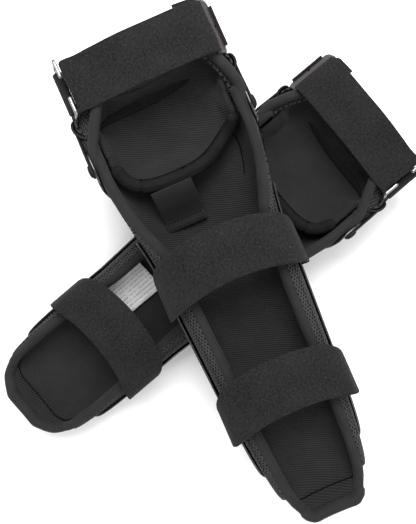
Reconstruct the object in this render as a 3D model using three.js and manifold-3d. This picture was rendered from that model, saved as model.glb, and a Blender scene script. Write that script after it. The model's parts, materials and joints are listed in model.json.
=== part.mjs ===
// A pair of knee and shin guards, lying crossed with their shells down and their open backs up.
// Millimetres, +Z up. The origin is on the ground, under the middle of the pair's box.
//
// Each guard is drawn in its own frame: x across the leg (the steel hook ring is on the -x side), y up the
// leg from the ankle end, z from the shell's front towards the leg. The right guard is the left one mirrored.
import * as THREE from "three";
import { mergeVertices } from "three/addons/utils/BufferGeometryUtils.js";
import Module from "manifold-3d";

const wasm = await Module();
wasm.setup();

// ---------------------------------------------------------------- driving dimensions
const SHELL = 2.5; // wall of the hard shells
const PAD = 8; // foam liner with its lining
const MESH = 2; // spacer mesh panel
const WEBBING = 2; // anchor and tab webbing
const ELASTIC = 2.2; // strap thickness
const GAP = 0.35; // clearance between neighbouring pieces
const LAYER_GAP = 1.7; // clearance between curved layers
const STRAP_WIDTH = 50;
const BINDING_RADIUS = 4.4; // rounded tape round the shin liner's rim
const THIGH_BINDING_RADIUS = 3.6;
const ROLL_RADIUS = 4.2; // padded roll along the knee cup's lower edge

const PIVOT_Y = 397; // knee axis, up the leg
const PIVOT_Z = 60; // knee axis, above the shell's front
const CUP_RADIUS = 43; // outside of the knee cup, about the knee axis
const CUP_EDGE_TURN = radians(66); // the cup's lower edge, turned down from straight under the axis
const CUP_HALF = 66; // half width of the cup
const CUP_SKEW = 9; // the cup's deepest line lies this far to the hook ring's side

const LINER_END = 6; // ankle end of the shin liner
const LINER_TOP = 418; // and its other end, beside the knee
const THIGH_TOP = 463; // the thigh pad's top edge at its middle
const THIGH_SHELL_START = 430;
const WING_TOP = 492; // the thigh pad's wings reach here at the sides
const SHELL_START = 54; // ankle end of the shin shell
const KNEE_SHELL_START = 322;
const KNEE_SHELL_END = 424;

const ANKLE_STRAP_Y = 106; // lower edges of the straps
const CALF_STRAP_Y = 238;
const THIGH_STRAP_Y = 449;
const STRAP_LEAN = 12; // the slack straps fall this far towards the knee at their crown

const CROSSING_LIFT = 75; // the left guard's ground line above the right guard's
const LEFT_TURN = radians(23.8); // how far each guard's leg line is turned from +Y
const RIGHT_TURN = radians(-49.9);
const MIDDLE_Y = 250; // the station of each guard that sits near the crossing
const LEFT_MIDDLE = [28, -10];
const RIGHT_MIDDLE = [-13, 4];

function radians(degrees) {
  return (degrees * Math.PI) / 180;
}

// ---------------------------------------------------------------- materials
function finish(color, roughness, metalness = 0) {
  return new THREE.MeshStandardMaterial({ color, roughness, metalness });
}
const GLOSS_SHELL = finish(0x0b0b0c, 0.15);
const LINING = finish(0x242326, 0.95);
const TAPE = finish(0x2b2a2d, 0.9);
const SPACER_MESH = finish(0x1c1b1d, 0.95);
const STRAP = finish(0x1a191b, 0.9);
const WEB = finish(0x1f1e20, 0.9);
const SMOOTH_CLOTH = finish(0x151416, 0.7);
const STEEL = finish(0xb4b4b6, 0.25, 1);
const MOULDED = finish(0x1d1714, 0.45);
const LABEL_CLOTH = finish(0xdcdcdc, 0.8);

// ---------------------------------------------------------------- shaping helpers
// A smooth curve through (station, value) pairs, level before the first pair and after the last.
function along(...pairs) {
  const last = pairs.length - 1;
  const slope = (i) => {
    const before = pairs[Math.max(i - 1, 0)];
    const after = pairs[Math.min(i + 1, last)];
    return (after[1] - before[1]) / (after[0] - before[0]);
  };
  return (y) => {
    if (y <= pairs[0][0]) return pairs[0][1];
    if (y >= pairs[last][0]) return pairs[last][1];
    const i = pairs.findIndex(([station]) => station > y);
    const [y0, start] = pairs[i - 1];
    const [y1, end] = pairs[i];
    const span = y1 - y0;
    const t = (y - y0) / span;
    const eased = t * t * (3 - 2 * t);
    const leaving = t * (1 - t) * (1 - t) * span * slope(i - 1);
    const arriving = t * t * (t - 1) * span * slope(i);
    return start + (end - start) * eased + leaving + arriving;
  };
}

// A channel's section at an angle from its lowest line: a squarish ellipse up to 90 degrees, and then a lip
// that leans in over the channel.
const SQUARENESS = 0.78;
function sectionPoint(turn, half, depth, lip) {
  const sine = Math.sin(turn);
  const cosine = Math.cos(turn);
  const x = half * Math.sign(sine) * Math.abs(sine) ** SQUARENESS;
  const rise = Math.abs(cosine) ** SQUARENESS;
  return [x, cosine >= 0 ? depth * (1 - rise) : depth + lip * rise];
}

// A surface takes an angle across the leg and a station along it. This gives the point at a depth from it
// towards the leg.
const ANGLE_STEP = 0.01;
const STATION_STEP = 0.4;
function inward(surface, turn, y, depth) {
  const across = surface(turn + ANGLE_STEP, y).sub(surface(turn - ANGLE_STEP, y));
  const up = surface(turn, y + STATION_STEP).sub(surface(turn, y - STATION_STEP));
  return surface(turn, y).addScaledVector(across.cross(up).normalize(), depth);
}

// A curved panel between two depths of a surface: a box whose vertices are laid over the surface.
function panel(surface, { turns, stations, depths, across, rows, ease = 1 }) {
  const geometry = new THREE.BoxGeometry(1, 1, 1, across, rows, 1).translate(0.5, 0.5, 0.5);
  const vertices = geometry.getAttribute("position");
  const unit = new THREE.Vector3();
  const { lerp } = THREE.MathUtils;
  for (let i = 0; i < vertices.count; i++) {
    unit.fromBufferAttribute(vertices, i);
    const y = lerp(...stations, unit.y ** ease);
    const turn = lerp(turns[0](y), turns[1](y), unit.x);
    const point = inward(surface, turn, y, lerp(...depths, unit.z));
    vertices.setXYZ(i, ...point);
  }
  return geometry;
}

// A rounded cord along a smooth curve through the points.
function cord(points, radius, { halfSides = 4, steps = 40 } = {}) {
  const section = new THREE.Shape();
  section.absarc(0, 0, radius, 0, 2 * Math.PI);
  const path = new THREE.CatmullRomCurve3(points, false, "centripetal");
  return new THREE.ExtrudeGeometry(section, { steps, curveSegments: halfSides, extrudePath: path });
}

// A flat shape, drawn in the plane across the leg, pushed along the leg from one station for a length.
function pushedAlong(shape, y, length, curveSegments = 6) {
  const options = { depth: length, bevelEnabled: false, curveSegments };
  return new THREE.ExtrudeGeometry(shape, options).rotateX(Math.PI / 2).translate(0, y + length, 0);
}

// The outline of a band whose outer face follows a smooth curve through the points, taken clockwise.
function bandOutline(points, thickness, divisions) {
  const curve = new THREE.SplineCurve(points.map(([a, b]) => new THREE.Vector2(a, b)));
  const outer = [];
  const inner = [];
  for (let i = 0; i <= divisions; i++) {
    const point = curve.getPoint(i / divisions);
    const tangent = curve.getTangent(i / divisions);
    outer.push(point);
    inner.unshift(new THREE.Vector2(point.x + tangent.y * thickness, point.y - tangent.x * thickness));
  }
  return new THREE.Shape([...outer, ...inner]);
}

// Leans a geometry towards the knee in proportion to its height above a level.
function lean(geometry, level, crown, amount) {
  const slope = amount / (crown - level);
  const shear = new THREE.Matrix4().set(1, 0, 0, 0, 0, 1, slope, -slope * level, 0, 0, 1, 0, 0, 0, 0, 1);
  return geometry.applyMatrix4(shear);
}

// ---------------------------------------------------------------- joining and cutting
function solidOf(geometry) {
  const bare = geometry.clone().deleteAttribute("normal").deleteAttribute("uv");
  const merged = mergeVertices(bare, 1e-3);
  const vertProperties = merged.getAttribute("position").array;
  return new wasm.Manifold(
    new wasm.Mesh({ numProp: 3, vertProperties, triVerts: new Uint32Array(merged.index.array) }),
  );
}

function geometryOf(solid) {
  const mesh = solid.getMesh();
  const geometry = new THREE.BufferGeometry();
  geometry.setAttribute("position", new THREE.BufferAttribute(mesh.vertProperties, 3));
  geometry.setIndex(new THREE.BufferAttribute(mesh.triVerts, 1));
  geometry.computeVertexNormals();
  return geometry;
}

const joined = (...geometries) => geometryOf(geometries.map(solidOf).reduce((a, b) => a.add(b)));
const cut = (geometry, ...tools) =>
  geometryOf(tools.map(solidOf).reduce((body, tool) => body.subtract(tool), solidOf(geometry)));

// ---------------------------------------------------------------- the shin section's form
// The outer face of the hard shells, by station. A splayed guard has its ankle end pressed wider open.
const SPLAY_END = 170;
const splayAt = along([30, 1], [SPLAY_END, 0]);
const shinHalf = along(
  [6, 32], [12, 37], [24, 43], [45, 50], [100, 57], [225, 64], [290, 67], [335, 74], [375, 80],
);
const shinDepth = along([6, 8], [24, 20], [45, 28], [100, 33], [225, 36], [300, 40], [350, 54]);
const shinFront = along([6, 34], [12, 24], [24, 12], [45, 5], [70, 3]);
const shinLip = along([6, 6], [45, 20], [225, 26], [300, 30], [350, 42]);
const shinWrap = along(
  [6, radians(104)], [45, radians(116)], [100, radians(126)], [290, radians(126)], [345, radians(92)],
);
const SPLAY_WIDTH = 9;
const SPLAY_WRAP = radians(22);
const shellHalf = (splay, y) => shinHalf(y) + splay * SPLAY_WIDTH * splayAt(y);

const shinSurface = (splay) => (turn, y) => {
  const [x, z] = sectionPoint(turn, shellHalf(splay, y), shinDepth(y), shinLip(y));
  return new THREE.Vector3(x, y, shinFront(y) + z);
};
const END_CORNER = 14; // length of the liner's rounded corners at its ankle end
const END_SHARE = 0.75; // share of the rim's angle that the end itself spans
const SPLAY_CORNER = 12; // how much longer a splayed guard's corners are
function rimTurn(splay) {
  const corner = END_CORNER + splay * SPLAY_CORNER;
  return (y) => {
    const rise = THREE.MathUtils.clamp((y - LINER_END) / corner, 0, 1);
    const rounded = END_SHARE + (1 - END_SHARE) * Math.sqrt(1 - (1 - rise) ** 2);
    return (shinWrap(y) - splay * SPLAY_WRAP * splayAt(y)) * rounded;
  };
}
const LINER_DEPTHS = [SHELL + LAYER_GAP, SHELL + LAYER_GAP + PAD];
const RIM_DEPTH = SHELL + LAYER_GAP + PAD / 2;

// How far up its sides the hard shell reaches: a low wall, with an ear at the knee axis.
const shinShellTurn = along(
  [SHELL_START, radians(78)], [76, radians(84)], [300, radians(86)], [345, radians(80)],
);
const kneeShellTurn = along(
  [KNEE_SHELL_START, radians(70)], [365, radians(74)], [384, radians(97)],
  [410, radians(97)], [KNEE_SHELL_END, radians(80)],
);

// A raised rib down the shell's front, with a flat face to lie on.
const RIB_HALF = 22;
const RIB_CORNER = 8;
const RIB_HEIGHT = 5; // from the ground, into the shell's wall
function rib(from, to) {
  const corners = [
    [-RIB_HALF, from + RIB_CORNER], [-RIB_HALF + RIB_CORNER, from], [RIB_HALF - RIB_CORNER, from],
    [RIB_HALF, from + RIB_CORNER], [RIB_HALF, to - RIB_CORNER], [RIB_HALF - RIB_CORNER, to],
    [-RIB_HALF + RIB_CORNER, to], [-RIB_HALF, to - RIB_CORNER],
  ];
  const outline = new THREE.Shape(corners.map(([x, y]) => new THREE.Vector2(x, y)));
  return new THREE.ExtrudeGeometry(outline, { depth: RIB_HEIGHT, bevelEnabled: false });
}

// The bore for a knee rivet, through the shell's ear and the thigh arm at one side.
const PIN_RADIUS = 3;
const BORE_RADIUS = 3.35;
const BORE_LENGTH = 20;
const BORE_MIDDLE = 80; // distance from the guard's middle
function pivotBore(side) {
  const bore = new THREE.CylinderGeometry(BORE_RADIUS, BORE_RADIUS, BORE_LENGTH, 10);
  return bore.rotateZ(Math.PI / 2).translate(side * BORE_MIDDLE, PIVOT_Y, PIVOT_Z);
}

function shinShell(surface) {
  const shell = panel(surface, {
    turns: [(y) => -shinShellTurn(y), shinShellTurn],
    stations: [SHELL_START, KNEE_SHELL_START - 1],
    depths: [0, SHELL],
    across: 12,
    rows: 11,
    ease: 1.4,
  });
  return joined(shell, rib(58, 300));
}

function kneeShell(surface) {
  const shell = panel(surface, {
    turns: [(y) => -kneeShellTurn(y), kneeShellTurn],
    stations: [KNEE_SHELL_START, KNEE_SHELL_END],
    depths: [0, SHELL],
    across: 12,
    rows: 9,
  });
  return cut(joined(shell, rib(335, 415)), pivotBore(-1), pivotBore(1));
}

function shinLiner(surface, rim) {
  const liner = panel(surface, {
    turns: [(y) => -rim(y), rim],
    stations: [LINER_END, LINER_TOP],
    depths: LINER_DEPTHS,
    across: 12,
    rows: 18,
    ease: 1.4,
  });
  return cut(liner, shinBinding(surface, rim, GAP));
}

// A step of the given length out of a panel's edge: across the leg, away from the middle, or along it.
function stepAcross(surface, turn, y, depth, out) {
  const back = inward(surface, turn - Math.sign(turn) * 2 * ANGLE_STEP, y, depth);
  return inward(surface, turn, y, depth).sub(back).setLength(out);
}
function stepAlong(surface, turn, y, depth, out) {
  const back = inward(surface, turn, y - Math.sign(out) * 2 * STATION_STEP, depth);
  return inward(surface, turn, y, depth).sub(back).setLength(Math.abs(out));
}

// The line that a binding follows: up one side of a panel, round its end and back down the other side.
// rims are the panel's edge angles, end is the station of its end, and out is how far outside it the line
// runs.
const END_SHARES = [-0.7, -0.35, 0, 0.35, 0.7];
function edgeLine(surface, rims, stations, end, depth, out) {
  const outward = end > stations[0] ? out : -out;
  const side = (rim, sign) =>
    stations.map((y) => {
      const turn = sign * rim(y);
      return inward(surface, turn, y, depth).add(stepAcross(surface, turn, y, depth, out));
    });
  const corner = (rim, sign) => {
    const turn = sign * rim(end);
    const point = inward(surface, turn, end, depth).add(stepAcross(surface, turn, end, depth, 0.6 * out));
    return point.add(stepAlong(surface, turn, end, depth, 0.6 * outward));
  };
  const across = END_SHARES.map((share) => {
    const turn = share * (share < 0 ? rims[0] : rims[1])(end);
    return inward(surface, turn, end, depth).add(stepAlong(surface, turn, end, depth, outward));
  });
  const [before, after] = [side(rims[0], -1), side(rims[1], 1).reverse()];
  return [...before, corner(rims[0], -1), ...across, corner(rims[1], 1), ...after];
}

const BINDING_GAP = 2.4; // between the binding's core and the liner's edge
function shinBinding(surface, rim, clearance = 0) {
  const stations = [LINER_TOP, 380, 350, 320, 290, 240, 190, 140, 100, 70, 45, 27, 15];
  const out = BINDING_RADIUS + BINDING_GAP;
  const line = edgeLine(surface, [rim, rim], stations, LINER_END, RIM_DEPTH, out);
  return cord(line, BINDING_RADIUS + clearance, { steps: 44 });
}

// Spacer mesh covers the liner's outer face, between the hard shell's edge and the binding.
const MESH_START_GAP = radians(2);
const MESH_RIM_GAP = radians(1.5);
function shinMesh(surface, rim, side) {
  const low = (y) => side * (Math.max(shinShellTurn(y), kneeShellTurn(y)) + MESH_START_GAP);
  const high = (y) => side * (rim(y) - MESH_RIM_GAP);
  return panel(surface, {
    turns: side > 0 ? [low, high] : [high, low],
    stations: [76, 375],
    depths: [SHELL - MESH, SHELL],
    across: 3,
    rows: 12,
  });
}

// Webbing that joins the knee cup's roll to the shin liner's floor.
const TAB_WIDTH = 42;
const TAB_CENTRE = -20;
// Turns a profile drawn along and up the guard, and its thickness, to y, z and x.
const STOOD_UP = new THREE.Matrix4().set(0, 0, 1, 0, 1, 0, 0, 0, 0, 1, 0, 0, 0, 0, 0, 1);
function centreTab() {
  const path = [[351, 43], [341, 35.5], [328, 26], [320, 23.6], [310, 23]];
  const outline = bandOutline(path.reverse(), WEBBING, 10);
  const geometry = new THREE.ExtrudeGeometry(outline, { depth: TAB_WIDTH, bevelEnabled: false });
  geometry.applyMatrix4(STOOD_UP);
  return geometry.translate(TAB_CENTRE - TAB_WIDTH / 2, 0, 0);
}

// The label lies on the liner's inner face.
const LABEL_THICKNESS = 0.8;
const LABEL_START = 160; // its edge nearer the ankle
const LABEL_WIDTH = 48;
const LABEL_TURNS = [radians(8), radians(76)];
function careLabel(surface) {
  return panel(surface, {
    turns: LABEL_TURNS.map((turn) => () => turn),
    stations: [LABEL_START, LABEL_START + LABEL_WIDTH],
    depths: [LINER_DEPTHS[1] + LAYER_GAP, LINER_DEPTHS[1] + LAYER_GAP + LABEL_THICKNESS],
    across: 6,
    rows: 2,
  });
}

// ---------------------------------------------------------------- the thigh section's form
// Outer face of the cup and thigh pad. Below the knee axis the section is turned about the axis, so that the
// cup swings inside the shin liner; above it the pad runs on up the thigh, and its wings widen.
const thighHalf = along([426, CUP_HALF], [436, 77], [443, 77], [452, 70], [475, 65], [WING_TOP, 64]);
const CUP_LIP = 10;
function thighSurface(turn, y) {
  const half = thighHalf(y);
  const [straight, rise] = sectionPoint(turn, half, CUP_RADIUS, CUP_LIP);
  const x = straight - CUP_SKEW * (1 - (straight / half) ** 2);
  const reach = CUP_RADIUS - rise;
  if (y >= PIVOT_Y) {
    const stretched = PIVOT_Y + (y - PIVOT_Y) * topShare(turn);
    return new THREE.Vector3(x, stretched, PIVOT_Z - reach);
  }
  const swing = (PIVOT_Y - y) / CUP_RADIUS;
  return new THREE.Vector3(x, PIVOT_Y - reach * Math.sin(swing), PIVOT_Z - reach * Math.cos(swing));
}
// The top edge dips at its middle: a share of the wings' height, by the angle across.
function topShare(turn) {
  const middle = (THIGH_TOP - PIVOT_Y) / (WING_TOP - PIVOT_Y);
  return middle + (1 - middle) * Math.min(1, Math.abs(turn) / radians(80)) ** 2;
}
const CUP_EDGE = PIVOT_Y - CUP_RADIUS * CUP_EDGE_TURN;
const CUP_SIDE = radians(87.5);
const hookSideRim = along([PIVOT_Y, CUP_SIDE], [430, radians(95)], [462, radians(130)]);
const loopSideRim = along([PIVOT_Y, CUP_SIDE], [430, radians(95)], [462, radians(104)]);

function kneePad() {
  const pad = panel(thighSurface, {
    turns: [(y) => -hookSideRim(y), loopSideRim],
    stations: [CUP_EDGE, WING_TOP],
    depths: [0, PAD],
    across: 12,
    rows: 20,
  });
  return cut(pad, thighBinding(GAP));
}

const ROLL_END = 80; // degrees round from the cup's lowest line
const ROLL_STEP = 16;
function kneeRoll() {
  const depth = PAD + 2 * GAP + ROLL_RADIUS;
  const points = [];
  for (let degrees = -ROLL_END; degrees <= ROLL_END; degrees += ROLL_STEP) {
    points.push(inward(thighSurface, radians(degrees), CUP_EDGE + 3, depth));
  }
  return cord(points, ROLL_RADIUS, { steps: 16 });
}

function thighBinding(clearance = 0) {
  const rims = [hookSideRim, loopSideRim];
  const out = THIGH_BINDING_RADIUS + LAYER_GAP;
  const line = edgeLine(thighSurface, rims, [451, 462, 472, 482], WING_TOP, PAD / 2, out);
  return cord(line, THIGH_BINDING_RADIUS + clearance, { halfSides: 3, steps: 28 });
}

const WING_MESH_START = radians(65);
const LOOP_RIM_GAP = radians(2);
const HOOK_RIM_GAP = radians(26); // the ring's webbing needs the room
function thighMesh(side) {
  const rim = side > 0 ? loopSideRim : hookSideRim;
  const gap = side > 0 ? LOOP_RIM_GAP : HOOK_RIM_GAP;
  const low = () => side * WING_MESH_START;
  const high = (y) => side * (rim(y) - gap);
  return panel(thighSurface, {
    turns: side > 0 ? [low, high] : [high, low],
    stations: [455, WING_TOP - 3],
    depths: [-LAYER_GAP - MESH, -LAYER_GAP],
    across: 5,
    rows: 3,
  });
}

// The thigh plate's side arms reach down to the knee axis, outside the knee shell's ears.
const THIGH_GAP = 3.4;
const ARM_FACE = 80.35;
const ARM_HALF = 8;
const ARM_TOP = 436;
const ARM_DROP = 6; // how far the arm comes down to meet the plate
function sideArm(side) {
  const outline = new THREE.Shape();
  outline.absarc(PIVOT_Y, PIVOT_Z, ARM_HALF, Math.PI / 2, 1.5 * Math.PI);
  outline.absarc(ARM_TOP, PIVOT_Z - ARM_DROP, ARM_HALF, -Math.PI / 2, Math.PI / 2);
  const arm = new THREE.ExtrudeGeometry(outline, { depth: SHELL, bevelEnabled: false, curveSegments: 8 });
  arm.applyMatrix4(STOOD_UP);
  return arm.translate(side > 0 ? ARM_FACE : -ARM_FACE - SHELL, 0, 0);
}

const PLATE_WIDE = radians(92); // beside the arms
const PLATE_NARROW = radians(60); // under the thigh strap
function thighShell() {
  const reach = along(
    [THIGH_SHELL_START, PLATE_WIDE], [443, PLATE_WIDE], [452, PLATE_NARROW],
  );
  const plate = panel(thighSurface, {
    turns: [(y) => -reach(y), reach],
    stations: [THIGH_SHELL_START, WING_TOP - 2],
    depths: [-THIGH_GAP - SHELL, -THIGH_GAP],
    across: 12,
    rows: 9,
  });
  return cut(joined(plate, sideArm(-1), sideArm(1)), pivotBore(-1), pivotBore(1));
}

// A rivet through the thigh arm and the shell's ear, with a domed head outside.
const PIN_TIP = 77.9; // the pin stops short of the liner
const PIVOT_HEAD = [[7, 0], [7, 1], [5, 2.4], [0, 3]]; // radius and height above the arm
function pivotRivet(side) {
  const face = ARM_FACE + SHELL + GAP;
  const head = PIVOT_HEAD.map(([radius, height]) => [radius, face + height]);
  const profile = [[0, PIN_TIP], [PIN_RADIUS, PIN_TIP], [PIN_RADIUS, face], ...head];
  const points = profile.map(([radius, height]) => new THREE.Vector2(radius, height));
  const rivet = new THREE.LatheGeometry(points, 14).rotateZ((-Math.PI / 2) * side);
  return rivet.translate(0, PIVOT_Y, PIVOT_Z);
}

// ---------------------------------------------------------------- straps and their fittings
const HINGE_Z = 38; // the lower straps open about this line, at the top of their anchors

// A strap over the shin's open back, from its hinge on the hook side to the far side of the shell.
function lowerStrap(splay, y, crown) {
  const side = Math.max(shellHalf(splay, y), shellHalf(splay, y + STRAP_WIDTH + 6)) + ELASTIC + 1;
  const outline = bandOutline(
    [
      [-side, HINGE_Z + 2], [-side - 5, 52], [-side + 4, 64], [-side * 0.55, crown - 5], [0, crown],
      [side * 0.55, crown - 5], [side - 4, 64], [side + 5, 52], [side + 0.5, 38], [side - 1, 24],
    ],
    ELASTIC,
    22,
  );
  return pushedAlong(outline, y, STRAP_WIDTH);
}

// The strap's fixed end, sewn double and riveted to the shell's side.
const ANCHOR_TURNS = [-radians(84), -radians(46)];
function strapAnchor(surface, y) {
  return panel(surface, {
    turns: ANCHOR_TURNS.map((turn) => () => turn),
    stations: [y + 1, y + STRAP_WIDTH - 1],
    depths: [-GAP - WEBBING, -GAP],
    across: 4,
    rows: 2,
  });
}

const ANCHOR_RIVET_TURN = -radians(62);
const ANCHOR_HEAD = [[0, 0], [5.5, 0], [5.5, 0.8], [4, 1.8], [0, 2.3]]; // radius and height
function anchorRivet(surface, y) {
  const middle = y + STRAP_WIDTH / 2;
  const base = inward(surface, ANCHOR_RIVET_TURN, middle, -GAP - WEBBING - GAP);
  const outwards = base.clone().sub(inward(surface, ANCHOR_RIVET_TURN, middle, 0)).normalize();
  const points = ANCHOR_HEAD.map(([radius, height]) => new THREE.Vector2(radius, height));
  const rivet = new THREE.LatheGeometry(points, 12);
  rivet.applyQuaternion(new THREE.Quaternion().setFromUnitVectors(new THREE.Vector3(0, 1, 0), outwards));
  return rivet.translate(...base);
}

// The steel hook ring lies on the strap's end. Its outer bar is held by the anchor webbing, and its inner bar
// is split, so that the strap's end can be slipped out.
const RING_BAR = [-74.5, 69]; // x and z of the outer bar
const RING_TILT = radians(22); // its inner bar is the higher one
const RING_REACH = 19;
const RING_HALF = 28;
const RING_SPLIT = 9; // half of the gap in the inner bar
const BAR = 4;
const RING_THICKNESS = 3;
function hookRing() {
  const inside = RING_HALF - BAR;
  const far = RING_REACH + BAR / 2;
  const corners = [
    [far, RING_SPLIT], [far, RING_HALF], [-BAR / 2, RING_HALF], [-BAR / 2, -RING_HALF],
    [far, -RING_HALF], [far, -RING_SPLIT], [far - BAR, -RING_SPLIT], [far - BAR, -inside],
    [BAR / 2, -inside], [BAR / 2, inside], [far - BAR, inside], [far - BAR, RING_SPLIT],
  ];
  const outline = new THREE.Shape(corners.map(([a, b]) => new THREE.Vector2(a, b)));
  const ring = new THREE.ExtrudeGeometry(outline, { depth: RING_THICKNESS, bevelEnabled: false });
  ring.translate(0, 0, -RING_THICKNESS / 2).rotateY(-RING_TILT);
  return ring.translate(RING_BAR[0], THIGH_STRAP_Y + STRAP_WIDTH / 2, RING_BAR[1]);
}

// Webbing folded round a bar and sewn down the outside of a wing.
const TAIL_LENGTH = 34;
const ANCHOR_WIDTH = 42;
const RING_EYE = 2.9; // radius of the fold round each bar
const LOOP_EYE = 3;
function barAnchor([x, z], wingFace, holeRadius, width, side) {
  const outer = holeRadius + WEBBING;
  const tailInner = side * (wingFace + GAP) - x;
  const tailOuter = tailInner + side * WEBBING;
  const [left, right] = tailInner < tailOuter ? [tailInner, tailOuter] : [tailOuter, tailInner];
  const sink = Math.sqrt(outer ** 2 - Math.max(left ** 2, right ** 2)) - 0.5;
  const round = (radius) => new THREE.Shape().absarc(0, 0, radius, 0, 2 * Math.PI);
  const tail = new THREE.Shape([
    new THREE.Vector2(left, -TAIL_LENGTH),
    new THREE.Vector2(right, -TAIL_LENGTH),
    new THREE.Vector2(right, -sink),
    new THREE.Vector2(left, -sink),
  ]);
  const y = THIGH_STRAP_Y + (STRAP_WIDTH - width) / 2;
  const strip = pushedAlong(tail, y, width);
  const eye = pushedAlong(round(outer), y, width);
  const bore = pushedAlong(round(holeRadius), y - 1, width + 2);
  return cut(joined(strip, eye), bore).translate(x, 0, z);
}

// The moulded loop: an oblong frame whose upper bar carries the strap's folded end.
const LOOP_BAR = [77.5, 60.5]; // x and z of the lower bar
const LOOP_TILT = radians(52);
const LOOP_REACH = 15;
const LOOP_HALF = 27;
const LOOP_THICKNESS = 3.2;
const LOOP_CORNER = 3;
function mouldedLoop() {
  const outline = new THREE.Shape();
  const half = BAR / 2;
  const near = LOOP_CORNER - half;
  const far = LOOP_REACH + half - LOOP_CORNER;
  const end = LOOP_HALF - LOOP_CORNER;
  outline.absarc(near, -end, LOOP_CORNER, Math.PI, 1.5 * Math.PI);
  outline.absarc(far, -end, LOOP_CORNER, 1.5 * Math.PI, 2 * Math.PI);
  outline.absarc(far, end, LOOP_CORNER, 0, 0.5 * Math.PI);
  outline.absarc(near, end, LOOP_CORNER, 0.5 * Math.PI, Math.PI);
  const slot = new THREE.Path();
  slot.moveTo(half, -LOOP_HALF + BAR);
  slot.lineTo(half, LOOP_HALF - BAR);
  slot.lineTo(LOOP_REACH - half, LOOP_HALF - BAR);
  slot.lineTo(LOOP_REACH - half, -LOOP_HALF + BAR);
  slot.closePath();
  outline.holes.push(slot);
  const loop = new THREE.ExtrudeGeometry(outline, {
    depth: LOOP_THICKNESS,
    bevelEnabled: false,
    curveSegments: 3,
  });
  loop.translate(0, 0, -LOOP_THICKNESS / 2).rotateY(Math.PI + LOOP_TILT);
  return loop.translate(LOOP_BAR[0], THIGH_STRAP_Y + STRAP_WIDTH / 2, LOOP_BAR[1]);
}

// The thigh strap: from under the hook ring's split bar, over the back of the thigh, to a fold round the
// moulded loop's upper bar.
function thighStrap() {
  const outline = bandOutline(
    [
      [-68, 68.4], [-57.5, 72.4], [-40, 78], [0, 83], [40, 83], [56, 81.5], [66, 79], [72, 76.5], [72.7, 73],
    ],
    ELASTIC,
    22,
  );
  return pushedAlong(outline, THIGH_STRAP_Y + 2.5, STRAP_WIDTH - 5);
}

// ---------------------------------------------------------------- one guard
const CALF_CROWN = 80;
const ANKLE_CROWN = 76;
const PRESSED_CALF_CROWN = 72; // the right guard's calf strap carries the left guard
function guard(prefix, splay, calfCrown, withLabel) {
  const group = new THREE.Group();
  const add = (name, geometry, material) => {
    const mesh = new THREE.Mesh(geometry, material);
    mesh.name = `${prefix}_${name}`;
    group.add(mesh);
  };
  const surface = shinSurface(splay);
  const rim = rimTurn(splay);

  add("shin_shell", shinShell(surface), GLOSS_SHELL);
  add("knee_shell", kneeShell(surface), GLOSS_SHELL);
  add("shin_liner", shinLiner(surface, rim), LINING);
  add("shin_binding", shinBinding(surface, rim), TAPE);
  add("shin_mesh_hook_side", shinMesh(surface, rim, -1), SPACER_MESH);
  add("shin_mesh_loop_side", shinMesh(surface, rim, 1), SPACER_MESH);
  add("centre_tab", centreTab(), WEB);
  if (withLabel) add("care_label", careLabel(surface), LABEL_CLOTH);

  add("knee_pad", kneePad(), LINING);
  add("knee_roll", kneeRoll(), SMOOTH_CLOTH);
  add("thigh_binding", thighBinding(), TAPE);
  add("thigh_mesh_hook_side", thighMesh(-1), SPACER_MESH);
  add("thigh_mesh_loop_side", thighMesh(1), SPACER_MESH);
  add("thigh_shell", thighShell(), GLOSS_SHELL);
  add("pivot_rivet_hook_side", pivotRivet(-1), STEEL);
  add("pivot_rivet_loop_side", pivotRivet(1), STEEL);

  const wingFace = thighHalf(THIGH_STRAP_Y + 3) + LAYER_GAP + MESH;
  add("ring_anchor", barAnchor(RING_BAR, wingFace, RING_EYE, ANCHOR_WIDTH, -1), WEB);
  add("hook_ring", hookRing(), STEEL);
  add("thigh_strap", thighStrap(), STRAP);
  add("moulded_loop", mouldedLoop(), MOULDED);
  add("loop_anchor", barAnchor(LOOP_BAR, wingFace, LOOP_EYE, ANCHOR_WIDTH - 2, 1), WEB);

  const crowns = { calf: [CALF_STRAP_Y, calfCrown], ankle: [ANKLE_STRAP_Y, ANKLE_CROWN] };
  for (const [name, [y, crown]] of Object.entries(crowns)) {
    add(`${name}_strap`, lean(lowerStrap(splay, y, crown), HINGE_Z, crown, STRAP_LEAN), STRAP);
    add(`${name}_anchor`, strapAnchor(surface, y), WEB);
    add(`${name}_rivet`, anchorRivet(surface, y), STEEL);
  }
  return group;
}

// ---------------------------------------------------------------- the pair
function place(group, turn, [x, y], z) {
  const middle = new THREE.Vector3(0, MIDDLE_Y, 0).applyAxisAngle(new THREE.Vector3(0, 0, 1), turn);
  group.rotation.z = turn;
  group.position.set(x - middle.x, y - middle.y, z);
  return group;
}

const left = place(guard("left", 0, CALF_CROWN, false), LEFT_TURN, LEFT_MIDDLE, CROSSING_LIFT);
const right = place(guard("right", 1, PRESSED_CALF_CROWN, true), RIGHT_TURN, RIGHT_MIDDLE, 0);
right.scale.x = -1;

const pair = new THREE.Group();
pair.add(left, right);

// The origin goes under the middle of the pair's box.
const box = new THREE.Box3().setFromObject(pair, true);
const centre = box.getCenter(new THREE.Vector3());
pair.children.forEach((child) => child.position.sub(new THREE.Vector3(centre.x, centre.y, box.min.z)));

export default pair;
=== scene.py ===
import json
import math

import bmesh
import bpy
import numpy as np
from mathutils import Matrix, Vector


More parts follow.
